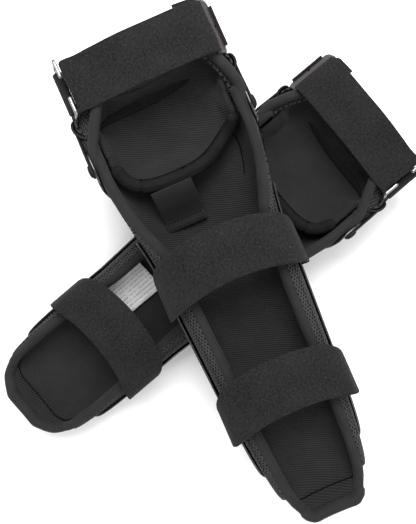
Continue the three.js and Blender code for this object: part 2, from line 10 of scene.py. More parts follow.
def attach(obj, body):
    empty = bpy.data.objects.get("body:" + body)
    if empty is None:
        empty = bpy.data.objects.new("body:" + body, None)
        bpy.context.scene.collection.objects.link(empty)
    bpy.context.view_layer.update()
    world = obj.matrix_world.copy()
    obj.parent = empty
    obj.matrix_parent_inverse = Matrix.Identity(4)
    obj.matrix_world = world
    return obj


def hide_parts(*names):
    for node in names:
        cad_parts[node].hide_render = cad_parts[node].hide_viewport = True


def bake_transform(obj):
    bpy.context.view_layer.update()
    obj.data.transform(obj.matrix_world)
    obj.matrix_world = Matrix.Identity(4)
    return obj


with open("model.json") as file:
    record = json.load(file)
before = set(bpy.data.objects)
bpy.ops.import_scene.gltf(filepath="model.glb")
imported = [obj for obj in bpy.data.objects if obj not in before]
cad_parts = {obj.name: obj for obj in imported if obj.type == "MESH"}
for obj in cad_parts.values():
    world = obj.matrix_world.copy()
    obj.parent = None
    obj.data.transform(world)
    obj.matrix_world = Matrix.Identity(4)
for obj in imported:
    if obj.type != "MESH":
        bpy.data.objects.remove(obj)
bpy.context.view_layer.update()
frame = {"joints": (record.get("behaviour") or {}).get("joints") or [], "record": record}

# The looks of a pair of knee and shin guards. Each guard is drawn in its own frame, in millimetres: x across
# the leg, with the steel ring on the -x side, y up the leg from the ankle end, and z from the shell's front
# towards the leg. The right guard is the left one mirrored.

MM = 0.001
BODY_OF = {
    node: body
    for body, nodes in frame["record"]["behaviour"]["bodies"].items()
    for node in nodes
}
JOINTS = {joint["name"]: joint for joint in frame["joints"]}

# ---------------------------------------------------------------- dimensions
# Thicknesses, and the room between two layers.
SHELL = 2.5
PAD = 8.0
MESH = 2.0
WEBBING = 2.0
ELASTIC = 2.2
LAYER_GAP = 1.7
SURFACE_GAP = 0.35
PLATE_GAP = 3.4

# Places along the guard, heights over its front, and the knee cup's own size.
STRAP_WIDTH = 50.0
PIVOT_Y = 397.0
PIVOT_Z = 60.0
CUP_RADIUS = 43.0
CUP_HALF = 66.0
CUP_SKEW = 9.0
CUP_LIP = 10.0
CUP_EDGE = PIVOT_Y - CUP_RADIUS * math.radians(66)
LINER_END = 6.0
LINER_TOP = 418.0
THIGH_TOP = 463.0
THIGH_SHELL_START = 430.0
WING_TOP = 492.0
SHELL_START = 54.0
KNEE_SHELL_START = 322.0
KNEE_SHELL_END = 424.0
ANKLE_STRAP_Y = 106.0
CALF_STRAP_Y = 238.0
THIGH_STRAP_Y = 449.0
STRAP_LEAN = 12.0
HINGE_Z = 38.0
CALF_CROWN = 80.0
PRESSED_CALF_CROWN = 72.0
ANKLE_CROWN = 76.0
LINER_DEPTHS = (SHELL + LAYER_GAP, SHELL + LAYER_GAP + PAD)
RIM_DEPTH = SHELL + LAYER_GAP + PAD / 2
ARM_FACE = 80.35

# The ring stands steeply beside one wing, and the loop leans in over the other. RING_BAR and LOOP_BAR are the
# x and z of the bar that each one's webbing holds.
RING_BAR = (-75.5, 56.0)
RING_TILT = math.radians(79)
RING_REACH = 19.0
RING_HALF = 29.0
RING_SPLIT = 9.0
BAR = 4.0
LOOP_BAR = (77.5, 60.5)
LOOP_TILT = math.radians(52)
LOOP_REACH = 15.0
LOOP_HALF = 27.0
TAB_WIDTH = 42.0
TAB_CENTRE = -20.0


def degrees(value):
    return math.radians(value)


# ---------------------------------------------------------------- curves and surfaces
def along(*pairs):
    """A smooth curve through (station, value) pairs, level before the first pair and after the last."""
    stations = np.array([pair[0] for pair in pairs], float)
    values = np.array([pair[1] for pair in pairs], float)
    last = len(pairs) - 1
    index = np.arange(last + 1)
    before = np.maximum(index - 1, 0)
    after = np.minimum(index + 1, last)
    slopes = (values[after] - values[before]) / (stations[after] - stations[before])

    def value_at(y):
        y = np.clip(np.asarray(y, float), stations[0], stations[-1])
        i = np.clip(np.searchsorted(stations, y, side="right"), 1, last)
        span = stations[i] - stations[i - 1]
        t = (y - stations[i - 1]) / span
        eased = t * t * (3 - 2 * t)
        leaving = t * (1 - t) ** 2 * span * slopes[i - 1]
        arriving = t * t * (t - 1) * span * slopes[i]
        return values[i - 1] + (values[i] - values[i - 1]) * eased + leaving + arriving

    return value_at


def constant(value):
    return lambda y: value + 0 * np.asarray(y, float)


def smoothstep(low, high, value):
    t = np.clip((value - low) / (high - low), 0, 1)
    return t * t * (3 - 2 * t)


def distances(line):
    """How far along a line each of its points is."""
    steps = np.linalg.norm(np.diff(line, axis=0), axis=1)
    return np.concatenate([[0], np.cumsum(steps)])


def interpolated(wanted, stations, values):
    """Rows of values at the wanted places between the stations."""
    return np.stack([np.interp(wanted, stations, column) for column in np.asarray(values).T], axis=-1)


def smooth_line(points, count):
    """Evenly spaced points on a smooth curve through the given ones."""
    points = np.array(points, float)
    stations = distances(points)
    wanted = np.linspace(0, stations[-1], count)
    columns = [along(*zip(stations, column))(wanted) for column in points.T]
    return np.stack(columns, axis=-1)


def unit(vectors):
    return vectors / np.maximum(np.linalg.norm(vectors, axis=-1, keepdims=True), 1e-9)


SQUARENESS = 0.78


def section_point(turn, half, depth, lip):
    """A channel's section by the angle from its lowest line: a squarish ellipse, and a lip over it."""
    sine = np.sin(turn)
    cosine = np.cos(turn)
    x = half * np.sign(sine) * np.abs(sine) ** SQUARENESS
    rise = np.abs(cosine) ** SQUARENESS
    return x, np.where(cosine >= 0, depth * (1 - rise), depth + lip * rise)


# The shin channel by the distance from the ankle: half its width, its depth, how far its front is above the
# ground, its lip, how far round its liner reaches, and the share of the full splay.
SHIN_HALF = along(
    (6, 30), (12, 34.5), (24, 42.5), (45, 50), (100, 57), (225, 64), (290, 67), (335, 74), (375, 80)
)
SHIN_DEPTH = along((6, 8), (24, 20), (45, 28), (100, 33), (225, 36), (300, 40), (350, 54))
SHIN_FRONT = along((6, 34), (12, 24), (24, 12), (45, 5), (70, 3))
SHIN_LIP = along((6, 6), (45, 20), (225, 26), (300, 30), (350, 42))
SHIN_WRAP = along(
    (6, degrees(104)), (24, degrees(114)), (45, degrees(124)), (100, degrees(130)), (290, degrees(128)),
    (345, degrees(92)),
)
SPLAY = along((30, 1), (170, 0))
SPLAY_WIDTH = 9.0
SPLAY_WRAP = degrees(22)
SHIN_SHELL_TURN = along((54, degrees(78)), (76, degrees(84)), (300, degrees(86)), (345, degrees(80)))
KNEE_SHELL_TURN = along(
    (322, degrees(70)), (365, degrees(74)), (384, degrees(97)), (410, degrees(97)), (424, degrees(80))
)
THIGH_HALF = along((426, CUP_HALF), (436, 77), (443, 77), (452, 70), (475, 65), (WING_TOP, 64))
HOOK_RIM = along((PIVOT_Y, degrees(87.5)), (430, degrees(95)), (462, degrees(130)))
LOOP_RIM = along((PIVOT_Y, degrees(87.5)), (430, degrees(95)), (462, degrees(104)))


def shell_half(splay, y):
    return SHIN_HALF(y) + splay * SPLAY_WIDTH * SPLAY(y)


def shin_surface(splay):
    """The outer face of the shin and knee shells."""

    def surface(turn, y):
        x, z = section_point(turn, shell_half(splay, y), SHIN_DEPTH(y), SHIN_LIP(y))
        return np.stack([x, y + 0 * x, SHIN_FRONT(y) + z], axis=-1)

    return surface


def rim_turn(splay):
    """The liner's edge angle by station. Its ankle end has rounded corners, rounder on a splayed guard."""
    corner = 24 + 12 * splay
    flat_share = 0.45 - 0.13 * splay

    def turn(y):
        rise = np.clip((np.asarray(y, float) - LINER_END) / corner, 0, 1)
        rounded = flat_share + (1 - flat_share) * np.sqrt(1 - (1 - rise) ** 2)
        return (SHIN_WRAP(y) - splay * SPLAY_WRAP * SPLAY(y)) * rounded

    return turn


def thigh_surface(turn, y):
    """The outer face of the knee cup and the thigh pad."""
    half = THIGH_HALF(y)
    straight, rise = section_point(turn, half, CUP_RADIUS, CUP_LIP)
    x = straight - CUP_SKEW * (1 - (straight / half) ** 2)
    reach = CUP_RADIUS - rise
    middle = (THIGH_TOP - PIVOT_Y) / (WING_TOP - PIVOT_Y)
    share = middle + (1 - middle) * np.minimum(1, np.abs(turn) / degrees(80)) ** 2
    above = y >= PIVOT_Y
    swing = np.where(above, 0, (PIVOT_Y - y) / CUP_RADIUS)
    up = np.where(above, PIVOT_Y + (y - PIVOT_Y) * share, PIVOT_Y - reach * np.sin(swing))
    return np.stack([x, up, PIVOT_Z - reach * np.cos(swing)], axis=-1)


ANGLE_STEP = 0.01
STATION_STEP = 0.4


def normals_of(surface, turn, y):
    across = surface(turn + ANGLE_STEP, y) - surface(turn - ANGLE_STEP, y)
    up = surface(turn, y + STATION_STEP) - surface(turn, y - STATION_STEP)
    return unit(np.cross(across, up))


def inward(surface, turn, y, depth):
    """The point of a surface moved towards the leg by a depth."""
    turn = np.asarray(turn, float)
    y = np.asarray(y, float) + 0 * turn
    turn = turn + 0 * y
    depth = np.asarray(depth, float) + 0 * turn
    return surface(turn, y) + normals_of(surface, turn, y) * depth[..., None]


def ripple(points, size, seed):
    """Soft, repeatable unevenness between -1 and 1, with waves of about the given size."""
    value = 0
    for i, angle in enumerate((0.3, 1.4, 2.5, 4.1)):
        direction = np.array([math.cos(angle + seed), math.sin(angle + seed), math.sin(2 * angle + seed)])
        value = value + np.sin(points @ direction * 2 * math.pi / (size * (1 + 0.27 * i)) + 1.7 * i + seed)
    return value / 4


# ---------------------------------------------------------------- guards
class Guard:
    """One guard: where its own frame lies, and the shape of its ankle end."""

    def __init__(self, side, splay, calf_crown):
        self.side = side
        self.splay = splay
        self.calf_crown = calf_crown
        self.surface = shin_surface(splay)
        self.rim = rim_turn(splay)
        joint = JOINTS[side + "_knee_flex"]
        sign = 1 if side == "left" else -1
        x_axis = Vector(joint["axis"]).normalized() * sign
        z_axis = Vector((0, 0, 1))
        y_axis = z_axis.cross(x_axis * sign) if sign > 0 else x_axis.cross(z_axis)
        origin = Vector(joint["pos_m"]) - y_axis * PIVOT_Y * MM - z_axis * PIVOT_Z * MM
        rotation = Matrix((x_axis, y_axis, z_axis)).transposed()
        self.matrix = Matrix.Translation(origin) @ rotation.to_4x4()
        self.axes = (x_axis, y_axis, z_axis)

    def place(self, points):
        """Points in this guard's millimetres, moved to the row frame's metres."""
        rotation = np.array(self.matrix.to_3x3())
        return np.asarray(points, float) * MM @ rotation.T + np.array(self.matrix.translation)

    def node(self, name):
        return self.side + "_" + name


GUARDS = (Guard("left", 0, CALF_CROWN), Guard("right", 1, PRESSED_CALF_CROWN))


# ---------------------------------------------------------------- mesh making
def mesh_object(guard, name, points, faces, uvs):
    """A mesh object from points in the guard's frame. The guard's side goes in front of its name. uvs are per
    point, in millimetres on the cloth."""
    name = guard.node(name)
    data = bpy.data.meshes.new(name)
    data.from_pydata([tuple(point) for point in guard.place(points)], [], faces)
    layer = data.uv_layers.new(name="cloth")
    corner_points = np.zeros(len(data.loops), int)
    data.loops.foreach_get("vertex_index", corner_points)
    layer.data.foreach_set("uv", np.asarray(uvs, float)[corner_points].ravel())
    form = bmesh.new()
    form.from_mesh(data)
    bmesh.ops.remove_doubles(form, verts=form.verts, dist=1e-5)
    bmesh.ops.recalc_face_normals(form, faces=form.faces)
    form.to_mesh(data)
    form.free()
    data.polygons.foreach_set("use_smooth", [True] * len(data.polygons))
    made = bpy.data.objects.new(name, data)
    bpy.context.scene.collection.objects.link(made)
    return made


def grid_faces(rows, columns, start=0, flip=False):
    faces = []
    for r in range(rows - 1):
        for c in range(columns - 1):
            a = start + r * columns + c
            face = (a, a + 1, a + columns + 1, a + columns)
            faces.append(face[::-1] if flip else face)
    return faces


def ring_faces(rows, sides, start=0):
    """The faces between rings of points, from one ring to the next."""
    faces = []
    for r in range(rows - 1):
        for c in range(sides):
            a = start + r * sides + c
            b = start + r * sides + (c + 1) % sides
            faces.append((a, b, b + sides, a + sides))
    return faces


def closed_sheet(front, back, uvs):
    """Points, faces and uvs of a sheet whose two faces meet at its edge."""
    rows, columns = front.shape[:2]
    count = rows * columns
    points = np.concatenate([front.reshape(-1, 3), back.reshape(-1, 3)])
    faces = grid_faces(rows, columns) + grid_faces(rows, columns, count, flip=True)
    around = list(range(columns))
    around += [r * columns + columns - 1 for r in range(1, rows)]
    around += [(rows - 1) * columns + c for c in range(columns - 2, -1, -1)]
    around += [r * columns for r in range(rows - 2, 0, -1)]
    for i, a in enumerate(around):
        b = around[(i + 1) % len(around)]
        faces.append((b, a, a + count, b + count))
    flat = uvs.reshape(-1, 2)
    return points, faces, np.concatenate([flat, flat])


def measured(points):
    """The distance of each grid point across from the middle column, and up from the first row."""
    across = np.linalg.norm(np.diff(points, axis=1), axis=2)
    across = np.concatenate([np.zeros((len(points), 1)), np.cumsum(across, axis=1)], axis=1)
    across = across - across[:, [points.shape[1] // 2]]
    up = np.linalg.norm(np.diff(points, axis=0), axis=2)
    up = np.concatenate([np.zeros((1, points.shape[1])), np.cumsum(up, axis=0)], axis=0)
    return np.stack([across, up], axis=-1)


def edge_steps(count, radius, length):
    """Shares from 0 to 1 over a length, closer together at the rounded edges."""
    share = min(0.4, radius / length)
    edge = share * (1 - np.cos(np.linspace(0, math.pi / 2, 5)[:-1]))
    return np.concatenate([edge, np.linspace(share, 1 - share, count), 1 - edge[::-1]])


def fullness(shares, radius, length):
    """How full a rounded edge is at each share of the length: 0 at the ends, 1 past the radius."""
    share = min(0.4, radius / length)
    inside = np.clip(np.minimum(shares, 1 - shares) / share, 0, 1)
    return np.sqrt(1 - (1 - inside) ** 2)


def panel(
    guard, name, surface, turns, stations, depths, size, across, rows, shape=None, ease=1.0, lift=None,
):
    """A rounded panel laid over a surface between two depths. size is about how wide and long it is, and
    shape gives how much to add to the two depths at each angle and station. lift gives how far the first edge
    is raised at each angle."""
    radius = abs(depths[1] - depths[0]) / 2
    columns = edge_steps(across, radius, size[0])
    lines = edge_steps(rows, radius, size[1])
    y = stations[0] + (stations[1] - stations[0]) * (lines[:, None] ** ease) + 0 * columns[None, :]
    turn = turns[0](y) + (turns[1](y) - turns[0](y)) * columns[None, :]
    if lift:
        y = y + lift(turn) * (1 - lines[:, None])
    full = fullness(lines, radius, size[1])[:, None] * fullness(columns, radius, size[0])[None, :]
    middle = (depths[0] + depths[1]) / 2
    half = (depths[1] - depths[0]) / 2
    low, high = shape(turn, y) if shape else (0, 0)
    front = inward(surface, turn, y, middle + half * full + high)
    back = inward(surface, turn, y, middle - half * full + low)
    uvs = measured(inward(surface, turn, y, middle))
    return mesh_object(guard, name, *closed_sheet(front, back, uvs))


def tube(guard, name, centres, normals, half_across, half_thick, sides=14, power=2.5, narrow=None):
    """A cord of squarish section along a line. normals point out of the surface it lies on, and narrow gives
    its share of full size by the distance along it."""
    centres = np.asarray(centres, float)
    distance = distances(centres)
    tangents = unit(np.gradient(centres, axis=0))
    across = unit(np.cross(tangents, normals))
    up = np.cross(across, tangents)
    ends = fullness(distance / distance[-1], half_thick, distance[-1])
    scale = ends * (narrow(distance) if narrow else 1)
    angles = np.linspace(0, 2 * math.pi, sides, endpoint=False)
    wide = np.sign(np.cos(angles)) * np.abs(np.cos(angles)) ** (2 / power) * half_across
    tall = np.sign(np.sin(angles)) * np.abs(np.sin(angles)) ** (2 / power) * half_thick
    rings = (
        centres[:, None, :]
        + across[:, None, :] * (scale[:, None] * wide[None, :])[..., None]
        + up[:, None, :] * (scale[:, None] * tall[None, :])[..., None]
    )
    round_about = angles[None, :] * (half_across + half_thick) / 2
    uvs = np.stack(np.broadcast_arrays(round_about, distance[:, None]), axis=-1)
    return mesh_object(guard, name, rings.reshape(-1, 3), ring_faces(len(centres), sides), uvs.reshape(-1, 2))


def ribbon(
    guard, name, path, start, width, thickness, lean=None, trim=None, count=90, wave=0.0, seed=0, inside=True,
):
    """A strap whose outer face follows a smooth path of (x, z) points, from a station for a width. lean
    shifts it along the guard, and trim narrows it from its far edge."""
    line = smooth_line(path, count)
    distance = distances(line)
    length = distance[-1]
    tangent = unit(np.gradient(line, axis=0))
    side = np.stack([tangent[:, 1], -tangent[:, 0]], axis=-1) * (1 if inside else -1)
    radius = thickness / 2
    columns = edge_steps(16, radius, width)
    full = fullness(columns, radius, width)[None, :]
    full = full * fullness(np.linspace(0, 1, count), radius, length)[:, None]
    middle = line + side * radius
    shape = (count, len(columns))
    y = start + (width - (trim(middle)[:, None] if trim else 0)) * columns[None, :] + np.zeros(shape)
    if lean:
        y = y + lean(middle)[:, None]
    centre = np.stack([middle[:, [0]] + np.zeros(shape), y, middle[:, [1]] + np.zeros(shape)], axis=-1)
    out = np.stack([-side[:, 0], np.zeros(count), -side[:, 1]], axis=-1)[:, None, :]
    centre = centre + out * (wave * ripple(centre, 46, seed))[..., None]
    front = centre + out * (radius * full)[..., None]
    back = centre - out * (radius * full)[..., None]
    uvs = np.stack(np.broadcast_arrays(width * columns[None, :], distance[:, None]), axis=-1)
    return mesh_object(guard, name, *closed_sheet(front, back, uvs))


def lathe(guard, name, base, axis, profile, sides=28):
    """A turned piece: profile is (radius, height) pairs, height measured from base along axis."""
    axis = unit(np.asarray(axis, float))
    first = unit(np.cross(axis, (0.3, 0.9, 0.2)))
    second = np.cross(axis, first)
    angles = np.linspace(0, 2 * math.pi, sides, endpoint=False)
    points = []
    uvs = []
    for radius, height in profile:
        for angle in angles:
            out = first * math.cos(angle) + second * math.sin(angle)
            points.append(np.asarray(base) + axis * height + out * radius)
            uvs.append((angle * 5, height))
    return mesh_object(guard, name, points, ring_faces(len(profile), sides), uvs)


# How thick a stitch is, by the share of its length from its middle.
STITCH_STATIONS = ((-0.5, 0.0), (-0.32, 0.9), (0.0, 1.15), (0.32, 0.9), (0.5, 0.0))


def stitches(guard, name, line, normals, pitch=4.0, length=2.7, radius=0.42, lift=0.1):
    """A row of sewn stitches along a line on a surface, as one mesh."""
    line = np.asarray(line, float)
    distance = distances(line)
    wanted = np.arange(pitch / 2, distance[-1], pitch)
    centres = interpolated(wanted, distance, line)
    ups = unit(interpolated(wanted, distance, normals))
    ahead = interpolated(wanted + 0.5, distance, line)
    tangents = unit(ahead - centres + 1e-9)
    sides = unit(np.cross(tangents, ups))
    points = []
    faces = []
    uvs = []
    ring = 6
    for centre, up, tangent, side in zip(centres, ups, tangents, sides):
        start = len(points)
        for share, swell in STITCH_STATIONS:
            for k in range(ring):
                angle = 2 * math.pi * k / ring
                out = side * math.cos(angle) + up * math.sin(angle)
                points.append(centre + up * (lift * swell) + tangent * share * length + out * radius * swell)
                uvs.append((angle, share))
        faces += ring_faces(len(STITCH_STATIONS), ring, start)
    return mesh_object(guard, name, points, faces, uvs)


def finish_piece(made, guard, body_node, slot, paint, *stands_for):
    """Gives a piece its material, its body and the CAD nodes that it stands for."""
    made.data.materials.clear()
    made.data.materials.append(paint)
    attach(made, BODY_OF[guard.node(body_node)])
    if stands_for:
        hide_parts(*[guard.node(node) for node in stands_for])


VOXEL = 0.004
PRESSURE = 4.0
LAST_FRAME = 20


def baked(made):
    """The mesh that an object's modifiers give it, as its own mesh with none of them left."""
    shown = made.evaluated_get(bpy.context.evaluated_depsgraph_get())
    data = bpy.data.meshes.new_from_object(shown)
    made.modifiers.clear()
    made.data = data


def corners_of(made):
    corners = np.zeros(len(made.data.vertices) * 3)
    made.data.vertices.foreach_get("co", corners)
    return corners.reshape(-1, 3)


def plump(made, limit):
    """Swells a padded piece by cloth simulation. No point moves further than the limit, in millimetres."""
    even = made.modifiers.new("even", "REMESH")
    even.mode = "VOXEL"
    even.voxel_size = VOXEL
    baked(made)
    start = corners_of(made)
    cloth = made.modifiers.new("cloth", "CLOTH")
    cloth.settings.use_pressure = True
    cloth.settings.uniform_pressure_force = PRESSURE
    cloth.settings.effector_weights.gravity = 0
    cloth.point_cache.frame_end = LAST_FRAME
    for number in range(1, LAST_FRAME + 1):
        bpy.context.scene.frame_set(number)
    baked(made)
    moved = corners_of(made) - start
    far = np.linalg.norm(moved, axis=1, keepdims=True)
    held = start + moved * np.minimum(1, limit * MM / np.maximum(far, 1e-9))
    made.data.vertices.foreach_set("co", held.ravel())
    made.data.polygons.foreach_set("use_smooth", [True] * len(made.data.polygons))
    made.modifiers.new("smooth", "SUBSURF").levels = 1
    baked(made)
    bpy.context.scene.frame_set(1)


# ---------------------------------------------------------------- materials
class Paint:
    """A node material under construction."""

    def __init__(self, name, roughness, metallic=0.0, sheen=0.0, specular=0.5, coat=0.0):
        self.material = bpy.data.materials.new(name)
        self.material.use_nodes = True
        self.tree = self.material.node_tree
        self.shader = self.tree.nodes["Principled BSDF"]
        self.shader.inputs["Roughness"].default_value = roughness
        self.shader.inputs["Metallic"].default_value = metallic
        self.shader.inputs["Sheen Weight"].default_value = sheen
        self.shader.inputs["Sheen Roughness"].default_value = 0.45
        self.shader.inputs["Specular IOR Level"].default_value = specular
        self.shader.inputs["Coat Weight"].default_value = coat
        self.shader.inputs["Coat Roughness"].default_value = 0.06

    def node(self, kind, inputs, **settings):
        made = self.tree.nodes.new("ShaderNode" + kind)
        for key, value in settings.items():
            setattr(made, key, value)
        for socket, value in inputs.items():
            if isinstance(value, bpy.types.NodeSocket):
                self.tree.links.new(value, made.inputs[socket])
            else:
                made.inputs[socket].default_value = value
        return made

    def math(self, operation, *values):
        made = self.node("Math", dict(enumerate(values)), operation=operation)
        return made.outputs[0]

    def total(self, *terms):
        """The sum of (value, weight) pairs."""
        value, weight = terms[0]
        result = self.math("MULTIPLY", value, weight)
        for value, weight in terms[1:]:
            result = self.math("MULTIPLY_ADD", value, weight, result)
        return result

    def noise(self, vector, scale, detail=3.0):
        made = self.node("TexNoise", {"Vector": vector, "Scale": scale, "Detail": detail})
        return made.outputs["Fac"]

    def between(self, value, low, high):
        """A value in 0 to 1, stretched from low to high and held there."""
        made = self.node("MapRange", {"Value": value, "To Min": low, "To Max": high})
        return made.outputs[0]

    def mask(self, value, low, high):
        """0 below low and 1 above high."""
        made = self.node("MapRange", {"Value": value, "From Min": low, "From Max": high})
        return made.outputs[0]

    def mixed(self, factor, dark, light):
        made = self.node("Mix", {0: factor, 6: (*dark, 1.0), 7: (*light, 1.0)}, data_type="RGBA")
        return made.outputs[2]

    def over(self, factor, below, colour):
        """A colour laid over another wherever the factor says."""
        made = self.node("Mix", {0: factor, 6: below, 7: (*colour, 1.0)}, data_type="RGBA")
        return made.outputs[2]

    def cloth_axes(self):
        """Distances across and along the cloth, in millimetres, and the two as one vector."""
        uv = self.node("UVMap", {}, uv_map="cloth")
        parts = self.node("SeparateXYZ", {0: uv.outputs[0]})
        return parts.outputs[0], parts.outputs[1], uv.outputs[0]

    def place_axes(self, across, up):
        """Distances along two directions, in millimetres, measured where the piece lies."""
        place = self.node("TexCoord", {}).outputs["Object"]
        values = []
        for direction in (across, up):
            scaled = [1000 * part for part in direction]
            dot = self.node("VectorMath", {0: place, 1: scaled}, operation="DOT_PRODUCT")
            values.append(dot.outputs["Value"])
        joined = self.node("CombineXYZ", {0: values[0], 1: values[1]})
        return values[0], values[1], joined.outputs[0]

    def waves(self, distance, pitch):
        """0 to 1 and back again, once every pitch along a distance."""
        angle = self.math("MULTIPLY", distance, 2 * math.pi / pitch)
        return self.math("MULTIPLY_ADD", self.math("SINE", angle), 0.5, 0.5)

    def colour(self, socket):
        self.tree.links.new(socket, self.shader.inputs["Base Color"])

    def roughness(self, socket):
        self.tree.links.new(socket, self.shader.inputs["Roughness"])

    def bump(self, height, distance):
        made = self.node("Bump", {"Strength": 1.0, "Distance": distance, "Height": height})
        self.tree.links.new(made.outputs[0], self.shader.inputs["Normal"])


def ribbed_lining(guard, name, bias):
    """Knit lining with fine ribs, cut a little off the straight."""
    paint = Paint(name, 0.92, sheen=0.03, specular=0.1)
    x_axis, y_axis, _ = guard.axes
    turn = degrees(bias)
    across = x_axis * math.cos(turn) + y_axis * math.sin(turn)
    up = y_axis * math.cos(turn) - x_axis * math.sin(turn)
    u, v, place = paint.place_axes(across, up)
    drift = paint.math("MULTIPLY", paint.noise(place, 0.06), 1.6)
    ribs = paint.waves(paint.math("ADD", v, drift), 2.15)
    loops = paint.waves(u, 1.05)
    wear = paint.noise(place, 0.035, 4.0)
    fuzz = paint.noise(place, 1.4, 2.0)
    height = paint.total((ribs, 1.0), (loops, 0.3), (fuzz, 0.35))
    tone = paint.total((ribs, 0.42), (wear, 0.5), (fuzz, 0.14))
    paint.colour(paint.mixed(tone, (0.0024, 0.0023, 0.0024), (0.030, 0.0292, 0.0305)))
    paint.roughness(paint.between(wear, 0.82, 1.0))
    paint.bump(height, 0.00035)
    return paint.material


def binding_tape():
    """Rounded elastic tape with fine cross ribs, rubbed paler in places."""
    paint = Paint("binding_tape", 0.82, sheen=0.05, specular=0.15)
    u, v, cloth = paint.cloth_axes()
    ribs = paint.waves(v, 0.95)
    cords = paint.waves(u, 1.3)
    wear = paint.noise(cloth, 0.045, 4.0)
    fuzz = paint.noise(cloth, 1.1, 2.0)
    tone = paint.total((ribs, 0.12), (wear, 0.75), (fuzz, 0.16))
    paint.colour(paint.mixed(tone, (0.0045, 0.0045, 0.0047), (0.0305, 0.0298, 0.0312)))
    paint.roughness(paint.between(wear, 0.7, 0.92))
    paint.bump(paint.total((cords, 0.35), (ribs, 1.0), (wear, 1.5)), 0.00022)
    return paint.material


def spacer_mesh():
    """Knitted spacer mesh: rows of open holes between thick threads."""
    paint = Paint("spacer_mesh", 0.85, sheen=0.03, specular=0.15)
    u, v, cloth = paint.cloth_axes()
    pitch = 3.4
    rows = pitch * math.sqrt(3)
    to_holes = []
    for shift in (0.0, 0.5):
        cell_u = paint.math("PINGPONG", paint.math("MULTIPLY_ADD", u, 1 / pitch, shift), 0.5)
        cell_v = paint.math("PINGPONG", paint.math("MULTIPLY_ADD", v, 1 / rows, shift), 0.5)
        side_u = paint.math("MULTIPLY", cell_u, pitch)
        side_v = paint.math("MULTIPLY", cell_v, rows * 0.8)
        squared = paint.math("ADD", paint.math("POWER", side_u, 2.0), paint.math("POWER", side_v, 2.0))
        to_holes.append(paint.math("SQRT", squared))
    nearest = paint.math("MINIMUM", *to_holes)
    threads = paint.mask(nearest, 0.55, 1.15)
    wear = paint.noise(cloth, 0.08, 3.0)
    strands = paint.waves(paint.math("ADD", u, v), 0.8)
    tone = paint.math("MULTIPLY", threads, paint.math("MULTIPLY_ADD", wear, 0.6, 0.35))
    tone = paint.math("MULTIPLY", tone, paint.math("MULTIPLY_ADD", strands, 0.3, 0.8))
    paint.colour(paint.mixed(tone, (0.0012, 0.0012, 0.0012), (0.062, 0.061, 0.062)))
    paint.roughness(paint.between(wear, 0.7, 0.95))
    paint.bump(paint.math("MULTIPLY_ADD", strands, 0.15, threads), 0.0009)
    return paint.material


def elastic_strap():
    """Woven elastic: fine cords along it, crossed by picks, with a few specks of lint."""
    paint = Paint("elastic_strap", 0.85, sheen=0.03, specular=0.12)
    u, v, cloth = paint.cloth_axes()
    cords = paint.waves(u, 1.25)
    picks = paint.waves(v, 0.85)
    weave = paint.math("ABSOLUTE", paint.math("SUBTRACT", cords, picks))
    wear = paint.noise(cloth, 0.03, 4.0)
    fuzz = paint.noise(cloth, 1.2, 2.0)
    grain = paint.mask(paint.noise(cloth, 0.42, 2.0), 0.32, 0.68)
    lint = paint.mask(paint.noise(cloth, 0.55, 1.0), 0.735, 0.765)
    tone = paint.total((weave, 0.16), (paint.mask(wear, 0.3, 0.7), 0.26), (fuzz, 0.12), (grain, 0.42))
    base = paint.mixed(tone, (0.0016, 0.0015, 0.0016), (0.0265, 0.0257, 0.0262))
    paint.colour(paint.over(paint.math("MULTIPLY", lint, 0.35), base, (0.16, 0.155, 0.15)))
    paint.roughness(paint.between(wear, 0.74, 0.95))
    paint.bump(paint.math("MULTIPLY_ADD", fuzz, 0.5, weave), 0.00022)
    return paint.material


def webbing():
    """Plain woven webbing with a twill slant."""
    paint = Paint("webbing", 0.7, sheen=0.02, specular=0.2)
    u, v, cloth = paint.cloth_axes()
    slant = paint.waves(paint.math("ADD", u, v), 1.9)
    cords = paint.waves(u, 1.4)
    wear = paint.noise(cloth, 0.05, 4.0)
    tone = paint.total((slant, 0.3), (wear, 0.6))
    paint.colour(paint.mixed(tone, (0.003, 0.003, 0.0032), (0.020, 0.019, 0.0195)))
    paint.roughness(paint.between(wear, 0.55, 0.8))
    paint.bump(paint.math("MULTIPLY_ADD", cords, 0.5, slant), 0.0003)
    return paint.material


def smooth_cloth():
    """Tightly woven cover cloth with pressed creases."""
    paint = Paint("smooth_cloth", 0.75, specular=0.12)
    u, v, cloth = paint.cloth_axes()
    weave = paint.math("MULTIPLY", paint.waves(u, 0.7), paint.waves(v, 0.7))
    wear = paint.noise(cloth, 0.05, 4.0)
    creases = paint.noise(cloth, 0.22, 3.0)
    tone = paint.total((weave, 0.15), (wear, 0.75))
    paint.colour(paint.mixed(tone, (0.0016, 0.0015, 0.0016), (0.014, 0.0135, 0.0138)))
    paint.roughness(paint.between(creases, 0.6, 0.85))
    paint.bump(paint.math("MULTIPLY_ADD", creases, 3.0, weave), 0.0002)
    return paint.material


def steel():
    """Bright plated steel with fine scratches and dull patches."""
    paint = Paint("steel", 0.25, metallic=1.0)
    u, v, cloth = paint.cloth_axes()
    stretched = paint.node("CombineXYZ", {0: paint.math("MULTIPLY", u, 6.0), 1: v}).outputs[0]
    scratches = paint.noise(stretched, 0.35, 4.0)
    patches = paint.noise(cloth, 0.12, 3.0)
    paint.colour(paint.mixed(patches, (0.13, 0.125, 0.12), (0.34, 0.33, 0.32)))
    paint.roughness(paint.between(scratches, 0.16, 0.42))
    paint.bump(scratches, 0.00004)
    return paint.material


